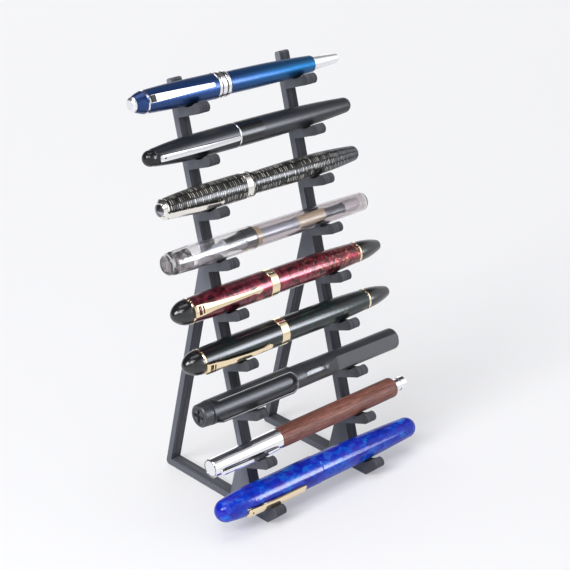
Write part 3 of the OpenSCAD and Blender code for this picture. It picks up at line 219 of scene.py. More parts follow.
class Mat(Nodes):
    """A material with a principled shader, whose sockets are set by name.

    Scales of noise and cells are per metre.
    """

    def __init__(self, name, **sockets):
        self.material = bpy.data.materials.new(name)
        self.material.use_nodes = True
        super().__init__(self.material.node_tree)
        self.shader = self.tree.nodes["Principled BSDF"]
        for key, value in sockets.items():
            self.set(key.replace("_", " "), value)

    def set(self, name, value):
        self.put(self.shader.inputs[name], value)

    def source(self, name):
        """What is linked to one of the shader's sockets."""
        return self.shader.inputs[name].links[0].from_socket

    def place(self):
        return self.node("ShaderNodeTexCoord").outputs["Object"]

    def normal(self):
        return self.node("ShaderNodeNewGeometry").outputs["Normal"]

    def pen(self, name):
        """Coordinates along the pen, and across it, from its axis at the left cradle."""
        at, tilt = pen_place(name)
        made = self.node("ShaderNodeMapping", vector_type="TEXTURE")
        self.put(made.inputs["Vector"], self.place())
        self.put(made.inputs["Location"], at)
        self.put(made.inputs["Rotation"], (0.0, tilt, 0.0))
        return made.outputs[0]

    def round_pen(self, name):
        """Place along the pen, angle round it from its front up, and distance from its axis."""
        s, y, z = self.split(self.pen(name))
        angle = self.math("ARCTAN2", z, self.mul(y, -1.0))
        far = self.math("SQRT", self.add(self.mul(y, y), self.mul(z, z)))
        return s, angle, far

    def scaled(self, vector, x, y, z):
        made = self.node("ShaderNodeMapping", vector_type="POINT")
        self.put(made.inputs["Vector"], vector)
        self.put(made.inputs["Scale"], (x, y, z))
        return made.outputs[0]

    def noise_node(self, vector, scale, detail, rough, warp):
        made = self.node("ShaderNodeTexNoise")
        self.put(made.inputs["Vector"], vector)
        self.put(made.inputs["Scale"], scale)
        self.put(made.inputs["Detail"], detail)
        self.put(made.inputs["Roughness"], rough)
        self.put(made.inputs["Distortion"], warp)
        return made.outputs

    def noise(self, vector, scale, detail=3.0, rough=0.5, warp=0.0):
        return self.noise_node(vector, scale, detail, rough, warp)["Fac"]

    def warped(self, vector, scale, amount):
        """Coordinates pushed about by noise."""
        made = self.node("ShaderNodeVectorMath", operation="MULTIPLY_ADD")
        self.put(made.inputs[0], self.noise_node(vector, scale, 2.0, 0.5, 0.0)["Color"])
        self.put(made.inputs[1], (amount, amount, amount))
        self.put(made.inputs[2], vector)
        return made.outputs[0]

    def cells(self, vector, scale):
        made = self.node("ShaderNodeTexVoronoi")
        self.put(made.inputs["Vector"], vector)
        self.put(made.inputs["Scale"], scale)
        return made.outputs

    def random(self, vector):
        made = self.node("ShaderNodeTexWhiteNoise", noise_dimensions="3D")
        self.put(made.inputs["Vector"], vector)
        return made.outputs["Value"]

    def bump(self, height, depth):
        made = self.node("ShaderNodeBump")
        self.put(made.inputs["Strength"], 1.0)
        self.put(made.inputs["Distance"], depth)
        self.put(made.inputs["Height"], height)
        self.set("Normal", made.outputs["Normal"])


def frame_plastic():
    """Matte printed plastic: layers stacked along X, fill lines on the flat sides, painted light
    and shade on the sides and noses.
    """
    layer_pitch, fill_pitch = 0.2 * MM, 0.34 * MM
    nose_from, nose_to, toe_top = 34 * MM, 60 * MM, 6 * MM
    side_from, side_span, shade_span = -20 * MM, 70 * MM, 50 * MM
    side_facing = 0.7
    m = Mat("frame_plastic", Specular_IOR_Level=0.25)
    at = m.place()
    x, y, z = m.split(at)
    flat = m.above(m.math("ABSOLUTE", m.split(m.normal())[0]), side_facing)
    right = m.above(x, 0.0)
    # How far a point stands out in front of the post, square to its lean
    out = m.sub(m.mul(z, math.sin(LEAN)), m.mul(y, math.cos(LEAN)))
    layer = m.math("PINGPONG", m.div(x, layer_pitch), 1.0)
    fill = m.math("PINGPONG", m.div(m.add(y, z), fill_pitch), 1.0)
    lines = m.add(m.mul(fill, flat), m.mul(layer, m.flip(flat)))
    band = m.rise(m.noise(m.scaled(at, 800, 25, 25), 1.0, 1.0, 0.6), 0.36, 0.28)
    grain = m.noise(at, 1400, 4.0)
    cloud = m.mul(m.noise(at, 70), 0.4)
    # Faces across the frame, with painted shade on the noses, deeper on the right frame
    wall = m.mix(band, (0.054, 0.056, 0.066), (0.118, 0.122, 0.140))
    wall = m.mix(cloud, wall, (0.090, 0.093, 0.108))
    nose_shade = m.mul(m.between(out, nose_from, nose_to, 1.0 * MM), m.above(z, toe_top))
    wall = m.mix(m.mul(nose_shade, m.rate(right, 0.5, 0.25)), wall, (0.022, 0.023, 0.027))
    # Flat sides, paler than the faces across: partly the smoother printed face, partly painted
    # light, palest on the arms of the hooks, with painted shade towards the noses and more painted
    # shade on the right frame's hooks
    side = m.ramp(
        m.rise(out, side_from, side_span),
        (0.36, (0.112, 0.118, 0.140)),
        (0.54, (0.180, 0.190, 0.222)),
        (0.77, (0.180, 0.190, 0.222)),
        (0.85, (0.083, 0.086, 0.100)),
        (0.90, (0.056, 0.058, 0.067)),
    )
    side = m.mix(cloud, side, (0.095, 0.100, 0.118))
    # Painted shade, growing out along the right frame's hooks
    shade = m.ramp(m.div(out, shade_span), (0.62, 0.0), (0.73, 0.30), (0.86, 0.48))
    side = m.mix(m.mul(right, shade), side, (0.0, 0.0, 0.0))
    tone = m.mix(flat, wall, side)
    m.set("Base Color", m.mix(m.mul(lines, 0.12), tone, (0.150, 0.157, 0.183)))
    m.set("Roughness", m.rate(grain, 0.55, 0.80))
    relief = m.add(m.mul(lines, 0.5), m.mul(m.flip(flat), band))
    m.bump(m.add(relief, m.mul(grain, 0.4)), 0.07 * MM)
    return m.material


def metal_mat(name):
    """Polished metal with faint rubbing marks along X."""
    colour, dull, rough = METALS[name]
    m = Mat(name, Metallic=1.0)
    at = m.place()
    rub = m.noise(m.scaled(at, 120, 1500, 1500), 1.0)
    haze = m.noise(at, 160)
    m.set("Base Color", m.mix(m.mul(haze, 0.6), colour, dull))
    m.set("Roughness", m.rate(m.mul(rub, haze), rough, rough + METAL_BLUR))
    m.bump(rub, 0.001 * MM)
    return m


def metal(name):
    return metal_mat(name).material


def wood_cap():
    """Chrome with painted groove shade: a dark line round the disc in the cap's end."""
    line_in, line_out, end_to = 4.15 * MM, 4.55 * MM, -25 * MM
    m = metal_mat("wood_cap_chrome")
    s, _, far = m.round_pen("wood")
    # Painted groove shade: a dark ring round the end disc
    ring_shade = m.mul(m.between(far, line_in, line_out, 0.1 * MM), m.below(s, end_to))
    m.set("Base Color", m.mix(ring_shade, m.source("Base Color"), (0.12, 0.12, 0.13)))
    return m.material


def ridged_silver():
    """Satin silver with painted shade in the grooves round the band."""
    groove_r = 6.45 * MM
    m = metal_mat("ridged_silver")
    _, _, far = m.round_pen("blue")
    # Painted shade where the band dips in, between the ridges
    groove_shade = m.below(far, groove_r)
    m.set("Base Color", m.mix(groove_shade, (0.88, 0.88, 0.90), (0.10, 0.10, 0.115)))
    return m.material


def blue_clip():
    """Chrome clip with a black inlay where it bends down to its ring."""
    clip_r, clip_turn = 7.4 * MM, math.radians(25.0)
    inlay_from, inlay_to, inlay_half = -28.1 * MM, -25.0 * MM, 1.75 * MM
    m = metal_mat("blue_clip_chrome")
    s, angle, _ = m.round_pen("blue")
    side = m.sub(m.mul(angle, clip_r), clip_turn * clip_r)
    inlay = m.mul(
        m.between(s, inlay_from, inlay_to, 0.1 * MM),
        m.between(side, -inlay_half, inlay_half, 0.1 * MM),
    )
    m.set("Base Color", m.mix(inlay, m.source("Base Color"), (0.006, 0.006, 0.008)))
    m.set("Metallic", m.flip(inlay))
    return m.material


def jewel():
    """Dark faceted jewel, with painted highlights on some facets at random."""
    jewel_r, facet_width, draw = 3.1 * MM, 2.4 * MM, 1.7
    m = Mat("jewel", Coat_Weight=0.6, Coat_Roughness=0.05, Roughness=0.25)
    _, angle, _ = m.round_pen("striped")
    facet = m.math("FLOOR", m.div(m.mul(angle, jewel_r), facet_width))
    # Each facet gets a random tone; the palest ones are painted highlights
    tone = m.ramp(
        m.random(m.join(facet, draw)),
        (0.0, (0.004, 0.004, 0.006)),
        (0.6, (0.03, 0.03, 0.04)),
        (1.0, (0.36, 0.36, 0.40)),
    )
    m.set("Base Color", tone)
    return m.material


def blue_lacquer():
    """Candy lacquer over metallic flakes, deeper on the cap."""
    cap_end, length = -35 * MM, 115 * MM
    m = Mat("blue_lacquer", Coat_Weight=0.3, Coat_Roughness=0.12, Roughness=0.42, Metallic=0.9)
    at = m.pen("blue")
    base = m.ramp(
        m.rise(m.split(at)[0], cap_end, length),
        (0.0, (0.020, 0.048, 0.165)),
        (0.45, (0.013, 0.052, 0.175)),
        (0.70, (0.005, 0.066, 0.190)),
        (1.0, (0.003, 0.098, 0.235)),
    )
    glint = m.above(m.split(m.cells(at, 9000)["Color"])[0], 0.82)
    m.set("Base Color", m.mix(m.mul(glint, 0.30), base, (0.05, 0.16, 0.45)))
    m.bump(m.noise(at, 500, 2.0), 0.003 * MM)
    return m.material


def satin_black():
    """Satin black lacquer with a polished tip and collar."""
    tip_from, tip_to = -40 * MM, -28.6 * MM
    collar_from, collar_to = 22.7 * MM, 37.8 * MM
    m = Mat("satin_black", Sheen_Weight=0.06, Sheen_Roughness=0.4)
    at = m.pen("black")
    s = m.split(at)[0]
    polish = m.math(
        "MAXIMUM",
        m.between(s, tip_from, tip_to, 0.2 * MM),
        m.between(s, collar_from, collar_to, 0.2 * MM),
    )
    satin = m.flip(polish)
    grain = m.noise(at, 2600)
    tone = m.mix(m.noise(at, 120, 2.0), (0.0100, 0.0112, 0.0165), (0.0135, 0.0150, 0.0215))
    m.set("Base Color", m.mix(polish, tone, (0.006, 0.006, 0.007)))
    m.set("Roughness", m.add(m.mul(polish, 0.24), m.mul(satin, m.rate(grain, 0.30, 0.37))))
    m.bump(m.mul(grain, satin), 0.012 * MM)
    return m.material


def gloss_black():
    """Black resin, polished by hand."""
    m = Mat("gloss_black", Coat_Weight=0.75, Coat_Roughness=0.07, Specular_IOR_Level=0.4)
    at = m.place()
    tone = m.mix(m.noise(at, 200, 2.0), (0.004, 0.0044, 0.0054), (0.008, 0.0086, 0.0104))
    m.set("Base Color", tone)
    m.set("Roughness", m.rate(m.noise(at, 350), 0.24, 0.34))
    m.bump(m.noise(at, 180, 1.0), 0.004 * MM)
    return m.material


def striped_celluloid():
    """Dark pearly celluloid built up of thin rings, with pale dashes across the pen."""
    pen_r, lane_width, ring_pitch = 6.3 * MM, 3.6 * MM, 1.15 * MM
    dash_from, dash_to, dash_len, dash_slip = 0.38, 0.64, 0.78, 0.22
    slip_rings, wave_rings, soft, ring_soft = 9.0, 1.2, 0.05, 0.12
    slip_draw, cut_draw = 5.3, 4.0
    tail_from, tail_len = 70 * MM, 20 * MM
    m = Mat(
        "striped_celluloid",
        Coat_Weight=0.45,
        Coat_Roughness=0.12,
        Roughness=0.34,
        Specular_IOR_Level=0.2,
    )
    at = m.pen("striped")
    s, angle, _ = m.round_pen("striped")
    # Lanes along the pen, each with its own row of rings
    lanes = m.div(m.mul(angle, pen_r), lane_width)
    lane = m.math("FLOOR", lanes)
    across = m.math("FRACT", lanes)
    slip = m.mul(m.random(m.join(lane, slip_draw)), slip_rings)
    wave = m.mul(m.noise(m.scaled(at, 120, 0, 0), 1.0, 2.0), wave_rings)
    rings = m.add(m.div(s, ring_pitch), m.add(slip, wave))
    ring = m.math("FLOOR", rings)
    # One dash in each ring of a lane, of a chance tone and place
    start = m.mul(m.random(m.join(ring, lane, cut_draw)), dash_slip)
    inside = m.mul(
        m.rise(across, start, soft),
        m.div(m.sub(m.add(start, dash_len), across), soft, clamp=True),
    )
    dash = m.mul(m.between(m.math("FRACT", rings), dash_from, dash_to, ring_soft), inside)
    pale = m.ramp(
        m.random(m.join(ring, lane)),
        (0.0, (0.012, 0.012, 0.010)),
        (0.35, (0.130, 0.125, 0.105)),
        (1.0, (1.000, 0.980, 0.870)),
    )
    tail = m.mul(m.rise(s, tail_from, tail_len), 0.8)
    pale = m.mix(tail, pale, (0.300, 0.320, 0.390))
    haze = m.noise(m.scaled(at, 500, 160, 160), 1.0)
    ground = m.mix(haze, (0.002, 0.002, 0.002), (0.010, 0.010, 0.010))
    m.set("Base Color", m.mix(dash, ground, pale))
    m.bump(haze, 0.002 * MM)
    return m.material


def smoky_clear(name, low, high, ior, clear):
    """Clear plastic with a grey-pink cast and moulding ripples, milky in the moulded clip."""
    clip_r, clip_clear = 6.5 * MM, 0.90
    m = Mat(name, IOR=ior)
    at = m.pen("clear")
    _, _, far = m.round_pen("clear")
    haze = m.noise(at, 220)
    clip = m.above(far, clip_r)
    m.set("Base Color", m.mix(clip, m.mix(haze, low, high), (0.90, 0.87, 0.875)))
    m.set("Transmission Weight", m.rate(clip, clear, clip_clear))
    m.set("Roughness", m.rate(haze, 0.03, 0.09))
    m.bump(m.noise(at, 240, 1.0), 0.02 * MM)
    return m.material


def smoke():
    """Dark smoky plastic of the clear pen's inner cap, uneven inside."""
    m = Mat("smoke", Transmission_Weight=0.75, IOR=1.3)
    cloud = m.noise(m.warped(m.pen("clear"), 500, 1.6 * MM), 620, 3.0, 0.6)
    tone = m.ramp(
        cloud,
        (0.45, (0.01, 0.009, 0.01)),
        (0.50, (0.34, 0.30, 0.31)),
        (0.62, (0.80, 0.74, 0.75)),
    )
    m.set("Base Color", tone)
    m.set("Roughness", m.rate(cloud, 0.05, 0.25))
    m.bump(cloud, 0.05 * MM)
    return m.material


def cartridge():
    """Cartridge and its holder: cream collar, pale body, cream sleeve, dark plunger, white end."""
    front, length = 20 * MM, 80 * MM
    m = Mat("cream_plastic", Roughness=0.38)
    at = m.pen("clear")
    tone = m.ramp(
        m.rise(m.split(at)[0], front, length),
        (0.0, (0.74, 0.57, 0.36)),
        (0.062, (0.46, 0.50, 0.58)),
        (0.390, (0.86, 0.71, 0.50)),
        (0.628, (0.12, 0.135, 0.17)),
        (0.800, (0.74, 0.72, 0.74)),
        step="CONSTANT",
    )
    cloud = m.noise(at, 260)
    m.set("Base Color", m.mix(m.mul(cloud, 0.25), tone, (0.42, 0.40, 0.38)))
    m.bump(cloud, 0.02 * MM)
    return m.material


def grained(name, scale, low, high, rough, depth, pen=None, **sockets):
    """Plain plastic or enamel with a fine grain, which may follow a pen."""
    m = Mat(name, **sockets)
    grain = m.noise(m.pen(pen) if pen else m.place(), scale)
    m.set("Base Color", m.mix(grain, low, high))
    m.set("Roughness", m.rate(grain, *rough))
    m.bump(grain, depth)
    return m.material


def clear_nib_unit():
    """Dark grip of the clear pen, with its steel nib."""
    nib_from, nib_to = -20 * MM, 2.4 * MM
    m = Mat("clear_nib_unit")
    at = m.pen("clear")
    grain = m.noise(at, 900)
    dark = m.mix(grain, (0.014, 0.016, 0.020), (0.032, 0.035, 0.042))
    nib = m.between(m.split(at)[0], nib_from, nib_to, 0.1 * MM)
    m.set("Base Color", m.mix(nib, dark, (0.66, 0.69, 0.75)))
    m.set("Metallic", m.mul(nib, 0.3))
    m.set("Roughness", m.rate(grain, 0.16, 0.3))
    m.bump(grain, 0.005 * MM)
    return m.material


def gold_nib_unit(pen):
    """Dark grip and feed, with a gold nib over the feed."""
    nib_from, nib_to, feed_r = -20 * MM, 5.75 * MM, 2.3 * MM
    m = Mat(pen + "_nib_unit")
    s, _, far = m.round_pen(pen)
    grain = m.noise(m.pen(pen), 900)
    dark = m.mix(grain, (0.005, 0.005, 0.006), (0.012, 0.012, 0.013))
    nib = m.mul(m.between(s, nib_from, nib_to, 0.05 * MM), m.above(far, feed_r))
    m.set("Base Color", m.mix(nib, dark, (0.86, 0.68, 0.40)))
    m.set("Metallic", nib)
    m.set("Roughness", m.rate(grain, 0.14, 0.26))
    m.bump(grain, 0.004 * MM)
    return m.material


def red_marble():
    """Wine pearl acrylic with dark clouds, and brassy mottles that thicken along the barrel."""
    brass_from, brass_len = -5 * MM, 75 * MM
    m = Mat(
        "red_marble",
        Coat_Weight=0.72,
        Coat_Roughness=0.10,
        Roughness=0.34,
        Specular_IOR_Level=0.3,
    )
    at = m.pen("red")
    bent = m.warped(at, 300, 2.0 * MM)
    base = m.ramp(
        m.noise(bent, 270, 4.0, 0.62),
        (0.30, (0.024, 0.003, 0.005)),
        (0.44, (0.115, 0.008, 0.019)),
        (0.56, (0.225, 0.018, 0.040)),
        (0.72, (0.380, 0.054, 0.076)),
    )
    chip = m.split(m.cells(m.warped(at, 420, 1.6 * MM), 430)["Color"])[0]
    base = m.mix(m.mul(m.below(chip, 0.16), 0.7), base, (0.010, 0.002, 0.003))
    mottle = m.noise(m.warped(at, 520, 1.4 * MM), 520, 3.0, 0.6)
    limit = m.rate(m.rise(m.split(at)[0], brass_from, brass_len), 0.74, 0.52)
    brass = m.mul(m.rise(mottle, limit, 0.14), 0.75)
    m.set("Base Color", m.mix(brass, base, (0.460, 0.240, 0.105)))
    m.set("Metallic", m.rate(m.noise(bent, 700, 2.0), 0.45, 0.95))
    m.bump(m.noise(at, 300, 1.0), 0.0012 * MM)
    return m.material


def green_marble():
    """Near black acrylic with bottle green depths and a few pale flecks."""
    green_from, green_len = -20 * MM, 110 * MM
    m = Mat(
        "green_marble",
        Coat_Weight=0.58,
        Coat_Roughness=0.10,
        Roughness=0.32,
        Specular_IOR_Level=0.3,
    )
    at = m.pen("green")
    cloud = m.noise(m.warped(at, 180, 3.0 * MM), 190, 4.0, 0.6)
    along = m.rise(m.split(at)[0], green_from, green_len)
    base = m.ramp(
        m.add(cloud, m.mul(along, 0.10)),
        (0.40, (0.0050, 0.0058, 0.0075)),
        (0.56, (0.0060, 0.0100, 0.0110)),
        (0.66, (0.0060, 0.0230, 0.0190)),
        (0.80, (0.0100, 0.0480, 0.0370)),
    )
    streaks = m.scaled(m.warped(at, 350, 1.4 * MM), 0.35, 1.0, 1.0)
    fleck = m.above(m.split(m.cells(streaks, 760)["Color"])[2], 0.985)
    m.set("Base Color", m.mix(m.mul(fleck, 0.6), base, (0.13, 0.13, 0.06)))
    m.set("Metallic", m.mul(cloud, 0.25))
    m.bump(m.noise(at, 300, 1.0), 0.0012 * MM)
    return m.material


def grey_plastic():
    """Charcoal moulded plastic with a fine matte grain; in the window a dark ink view with a
    painted highlight down its middle, and painted shade round the window's recess.
    """
    pen_r, window_turn = 6.3 * MM, math.radians(26.0)
    window_from, window_to, window_r = 36.0 * MM, 49.4 * MM, 5.0 * MM
    rim, rim_half = 1.0 * MM, 2.5 * MM
    highlight_low, highlight_high = -1.2 * MM, 0.9 * MM
    m = Mat("grey_plastic", Sheen_Weight=0.10, Sheen_Roughness=0.4)
    at = m.pen("grey")
    s, angle, far = m.round_pen("grey")
    side = m.sub(m.mul(angle, pen_r), window_turn * pen_r)
    grain = m.noise(at, 3200)
    tone = m.mix(m.noise(at, 150, 2.0), (0.027, 0.0278, 0.0345), (0.036, 0.0370, 0.0455))
    # Painted shade round the window's recess
    recess_shade = m.mul(
        m.between(s, window_from - rim, window_to + rim, 0.3 * MM),
        m.between(side, -rim_half, rim_half, 0.3 * MM),
    )
    tone = m.mix(m.mul(recess_shade, 0.8), tone, (0.006, 0.006, 0.007))
    # Painted highlight down the middle of the ink view
    view_highlight = m.between(side, highlight_low, highlight_high, 0.5 * MM)
    view = m.mix(view_highlight, (0.06, 0.06, 0.07), (0.74, 0.75, 0.82))
    deep = m.mul(m.between(s, window_from, window_to, 0.1 * MM), m.below(far, window_r))
    m.set("Base Color", m.mix(deep, tone, view))
    m.set("Roughness", m.rate(grain, 0.28, 0.40))
    m.bump(grain, 0.015 * MM)
    return m.material


def wood():
    """Red-brown hardwood with long grain and short dark pores along the pen."""
    m = Mat("wood", Specular_IOR_Level=0.4)
    at = m.pen("wood")
    ring = m.noise(m.scaled(m.warped(at, 90, 1.6 * MM), 55, 620, 620), 1.0, 4.0, 0.6, 0.6)
    fine = m.noise(m.scaled(at, 160, 2600, 2600), 1.0, 3.0, 0.6)
    pore = m.below(m.cells(m.scaled(at, 190, 1700, 1700), 1.0)["Distance"], 0.17)
    base = m.ramp(
        m.add(m.mul(ring, 0.72), m.mul(fine, 0.28)),
        (0.30, (0.080, 0.025, 0.017)),
        (0.44, (0.175, 0.058, 0.040)),
        (0.56, (0.270, 0.100, 0.070)),
        (0.70, (0.430, 0.190, 0.140)),
    )
    m.set("Base Color", m.mix(m.mul(pore, 0.75), base, (0.026, 0.009, 0.007)))
    m.set("Roughness", m.rate(fine, 0.42, 0.62))
    m.bump(m.sub(m.mul(fine, 0.6), pore), 0.05 * MM)
    return m.material


def blue_marble():
    """Royal blue acrylic with soft lighter chips and violet depths."""
    m = Mat(
        "blue_marble",
        Coat_Weight=0.65,
        Coat_Roughness=0.10,
        Roughness=0.42,
        Specular_IOR_Level=0.03,
    )
    at = m.pen("marbled")
    bent = m.warped(m.warped(at, 260, 3.0 * MM), 900, 0.8 * MM)
    stretched = m.scaled(bent, 0.7, 1.0, 1.0)
    chip, hue, _ = m.split(m.cells(stretched, 230)["Color"])
    inner = m.noise(stretched, 330, 5.0, 0.62)
    base = m.ramp(
        m.add(m.mul(chip, 0.26), m.mul(inner, 0.74)),
        (0.30, (0.003, 0.010, 0.300)),
        (0.46, (0.003, 0.024, 0.440)),
        (0.56, (0.004, 0.050, 0.540)),
        (0.66, (0.010, 0.130, 0.640)),
        (0.82, (0.050, 0.300, 0.760)),
    )
    m.set("Base Color", m.mix(m.mul(m.above(hue, 0.72), 0.35), base, (0.040, 0.020, 0.420)))
    m.bump(m.noise(at, 260, 1.0), 0.0015 * MM)
    return m.material


def paint(material, *names):
    """Gives pieces a material, without a change to their meshes."""
    for name in names:
        obj = nodes[name]
        if not obj.material_slots:
            obj.data.materials.append(None)
        for slot in obj.material_slots:
            slot.link = "OBJECT"
            slot.material = material


def soften(width, *names):
    """Rounds the sharp edges of a piece a little."""
    for name in names:
        weld = nodes[name].modifiers.new("weld", "WELD")
        weld.merge_threshold = 0.005 * MM
        bevel = nodes[name].modifiers.new("soften", "BEVEL")
        bevel.width = width
        bevel.segments = 3
        bevel.limit_method = "ANGLE"
        bevel.angle_limit = math.radians(40.0)
        bevel.use_clamp_overlap = True


def floor():
    """White sweep, paler away from the object, that keeps the object's shadow."""
    half, glow_share = 9.0, 0.35
    view_x, view_y = 0.67, 0.74
    mesh = bpy.data.meshes.new("floor")
    corners = [(-half, -half, 0), (half, -half, 0), (half, half, 0), (-half, half, 0)]
    mesh.from_pydata(corners, [], [(0, 1, 2, 3)])
    obj = bpy.data.objects.new("floor", mesh)
    scene.collection.objects.link(obj)
    m = Mat("floor_paper", Roughness=0.75, Specular_IOR_Level=0.2)
    at = m.place()
    x, y, _ = m.split(at)
    away = m.add(m.mul(x, view_x), m.mul(y, view_y), clamp=True)
    near = m.mix(m.noise(at, 3.0, 2.0), (0.810, 0.810, 0.825), (0.830, 0.830, 0.845))
    m.set("Base Color", m.mix(away, near, (0.960, 0.960, 0.970)))
    glow = m.node("ShaderNodeEmission")
    m.put(glow.inputs["Color"], m.mix(away, (0.920, 0.920, 0.925), (0.990, 0.990, 0.990)))
    both = m.node("ShaderNodeMixShader")
    m.put(both.inputs[0], m.mul(m.seen(), glow_share))
    m.put(both.inputs[1], m.shader.outputs[0])
    m.put(both.inputs[2], glow.outputs[0])
    m.put(m.tree.nodes["Material Output"].inputs["Surface"], both.outputs[0])
    mesh.materials.append(m.material)


def world():
    """Even pale light. What shows is bright near the horizon, dark overhead and on the left."""
    left_share, bright_to, dark_from = 0.35, 0.26, 0.46
    studio = bpy.data.worlds.new("studio")
    scene.world = studio
    studio.use_nodes = True
    n = Nodes(studio.node_tree)
    x, y, z = n.split(n.node("ShaderNodeTexCoord").outputs["Generated"])
    height = n.math("MULTIPLY_ADD", n.sub(y, x), left_share, z)
    room = n.ramp(height, (bright_to, (0.90, 0.90, 0.92)), (dark_from, (0.07, 0.07, 0.08)))
    sky = studio.node_tree.nodes["Background"]
    n.put(sky.inputs["Color"], n.mix(n.seen(), (0.37, 0.375, 0.40), room))
    n.put(sky.inputs["Strength"], 1.0)


def softbox(name, place, aim, width, height, power, only=(), colour=(1.0, 1.0, 1.0)):
    """Soft lamp. With only, it shows in the gloss of those pieces and lights nothing else."""
    light = bpy.data.lights.new(name, "AREA")
    light.shape = "RECTANGLE"
    light.size = width
    light.size_y = height
    light.energy = power
    light.color = colour
    obj = bpy.data.objects.new(name, light)
    obj.location = place
    obj.rotation_euler = (Vector(aim) - Vector(place)).to_track_quat("-Z", "Y").to_euler()
    scene.collection.objects.link(obj)
    if only:
        shown = bpy.data.collections.new(name)
        for piece in only:
            shown.objects.link(nodes[piece])
        obj.visible_diffuse = False
        obj.visible_camera = False
        obj.light_linking.receiver_collection = shown


def camera():
    """The photo's camera, as fitted to both frames."""
    right = Vector((0.73895, -0.67375, -0.00243)).normalized()
    back = Vector((-0.61581, -0.67688, 0.40325)).normalized()
    up = back.cross(right).normalized()
    right = up.cross(back)
    place = Vector((-506.84, -528.36 - middle_y(), 443.47)) * MM
    data = bpy.data.cameras.new("camera")
    data.sensor_width = 36.0
    data.lens = 102.06
    data.clip_start = 0.01
    data.clip_end = 50.0
    obj = bpy.data.objects.new("camera", data)
    turn = Matrix((right, up, back)).transposed().to_4x4()
    obj.matrix_world = Matrix.Translation(place) @ turn
    scene.collection.objects.link(obj)
    scene.camera = obj


def pieces(pen, *parts):
    return [pen + "_pen_" + part for part in parts]


# Materials of the pieces, and rounded edges on the printed frames
paint(frame_plastic(), "left_frame", "right_frame")
soften(0.8 * MM, "left_frame", "right_frame")
paint(
    metal("chrome"),
    *pieces("black", "clip", "cap_ring"),
    *pieces("wood", "clip", "barrel_end"),
)
paint(wood_cap(), "wood_pen_cap")
paint(metal("satin_silver"), *pieces("blue", "finial", "barrel_end"))
paint(ridged_silver(), "blue_pen_cap_band")
paint(blue_clip(), "blue_pen_clip")
paint(metal("pale_nickel"), *pieces("striped", "clip", "cap_band"))
paint(
    metal("gold"),
    *pieces("blue", "nib"),
    *pieces("striped", "nib"),
    *pieces("red", "clip", "cap_band", "tail_ring"),
    *pieces("green", "clip", "cap_band", "tail_ring"),
    *pieces("marbled", "clip", "nib"),
)
paint(metal("nib_steel"), "black_pen_nib", "grey_pen_nib", "wood_pen_nib")
dark_plastic = grained(
    "dark_plastic",
    scale=900,
    low=(0.006, 0.006, 0.007),
    high=(0.014, 0.014, 0.016),
    rough=(0.22, 0.40),
    depth=0.006 * MM,
)
for owner in ("blue", "black", "striped", "grey", "wood", "marbled"):
    paint(dark_plastic, owner + "_pen_grip")
paint(gloss_black(), *pieces("red", "cap_end", "tail"), *pieces("green", "cap_end", "tail"))
paint(jewel(), "striped_pen_jewel")
paint(blue_lacquer(), *pieces("blue", "cap", "barrel"))
paint(satin_black(), *pieces("black", "cap", "barrel"))
paint(striped_celluloid(), *pieces("striped", "cap", "barrel"))
paint(
    smoky_clear("smoky_clear", (0.93, 0.915, 0.92), (0.97, 0.96, 0.965), ior=1.42, clear=0.98),
    "clear_pen_cap",
)
paint(
    smoky_clear("smoky_barrel", (0.68, 0.645, 0.65), (0.78, 0.745, 0.75), ior=1.30, clear=1.0),
    "clear_pen_barrel",
)
paint(smoke(), "clear_pen_inner_cap")
paint(cartridge(), "clear_pen_cartridge")
paint(clear_nib_unit(), "clear_pen_nib_unit")
paint(red_marble(), *pieces("red", "cap", "barrel"))
paint(gold_nib_unit("red"), "red_pen_nib_unit")
paint(green_marble(), *pieces("green", "cap", "barrel"))
paint(gold_nib_unit("green"), "green_pen_nib_unit")
paint(grey_plastic(), *pieces("grey", "cap", "barrel"))
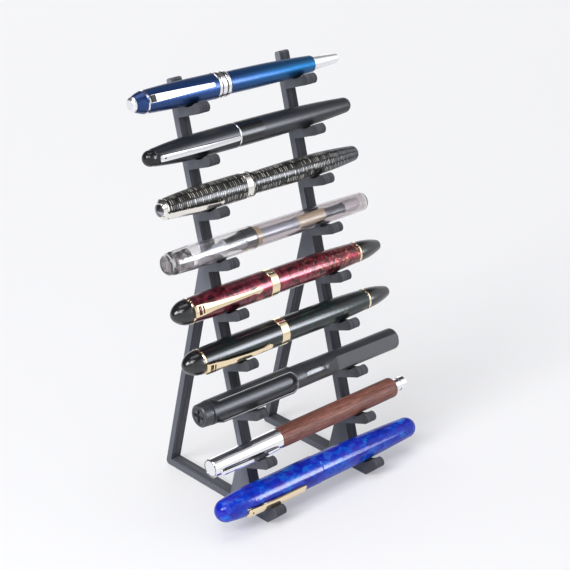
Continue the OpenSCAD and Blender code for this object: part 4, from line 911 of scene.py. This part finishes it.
dark_wire = grained(
    "dark_wire",
    scale=1800,
    low=(0.010, 0.010, 0.011),
    high=(0.018, 0.018, 0.020),
    rough=(0.24, 0.38),
    depth=0.008 * MM,
    pen="grey",
    Coat_Weight=0.3,
    Coat_Roughness=0.12,
)
paint(dark_wire, "grey_pen_clip")
paint(wood(), "wood_pen_barrel")
paint(blue_marble(), *pieces("marbled", "cap", "barrel"))

# Floor, light and camera
floor()
world()
GLOSSY = (
    *pieces("blue", "cap", "barrel"),
    *pieces("black", "cap", "barrel"),
    *pieces("striped", "jewel", "cap", "barrel"),
    *pieces("clear", "cap", "barrel"),
    *pieces("red", "cap_end", "cap", "barrel", "tail"),
    *pieces("green", "cap_end", "cap", "barrel", "tail"),
    *pieces("grey", "clip", "cap", "barrel"),
    *pieces("wood", "barrel"),
    *pieces("marbled", "cap", "barrel"),
)
METAL = (
    *pieces("blue", "finial", "clip", "cap_band", "barrel_end"),
    *pieces("black", "clip", "cap_ring"),
    *pieces("striped", "clip", "cap_band"),
    *pieces("red", "clip", "cap_band", "tail_ring"),
    *pieces("green", "clip", "cap_band", "tail_ring"),
    *pieces("wood", "clip", "cap", "barrel_end"),
    *pieces("marbled", "clip"),
)
COOL = (0.87, 0.91, 1.0)
STAND = (0.0, 0.0, 0.12)
# Name, place, aim, width, height and power. The last five show only in gloss
softbox("key", (-4.2, -0.3, 2.9), (0.0, 0.0, 0.1), 2.0, 2.0, 165.0)
softbox("top", (0.3, 0.8, 4.6), (0.0, 0.2, 0.1), 3.2, 3.2, 70.0)
softbox("near", (-0.48, -0.34, 0.66), (0.0, 0.0, 0.16), 0.30, 0.30, 2.2)
softbox("window", (1.86, -2.48, 0.95), (0.0, 0.0, 0.95), 0.84, 1.90, 43.0, GLOSSY, COOL)
softbox("window_core", (1.77, -2.49, 0.78), (0.0, 0.0, 0.78), 0.52, 1.00, 21.5, GLOSSY, COOL)
softbox("panel", (1.03, -1.28, 0.80), STAND, 0.90, 1.25, 4.2, METAL)
softbox("panel_top", (1.23, -0.67, 1.43), STAND, 1.00, 1.10, 1.9, METAL)
softbox("panel_back", (1.23, 1.52, 0.42), STAND, 1.20, 0.80, 2.2, METAL)
camera()
scene.view_settings.view_transform = "Standard"
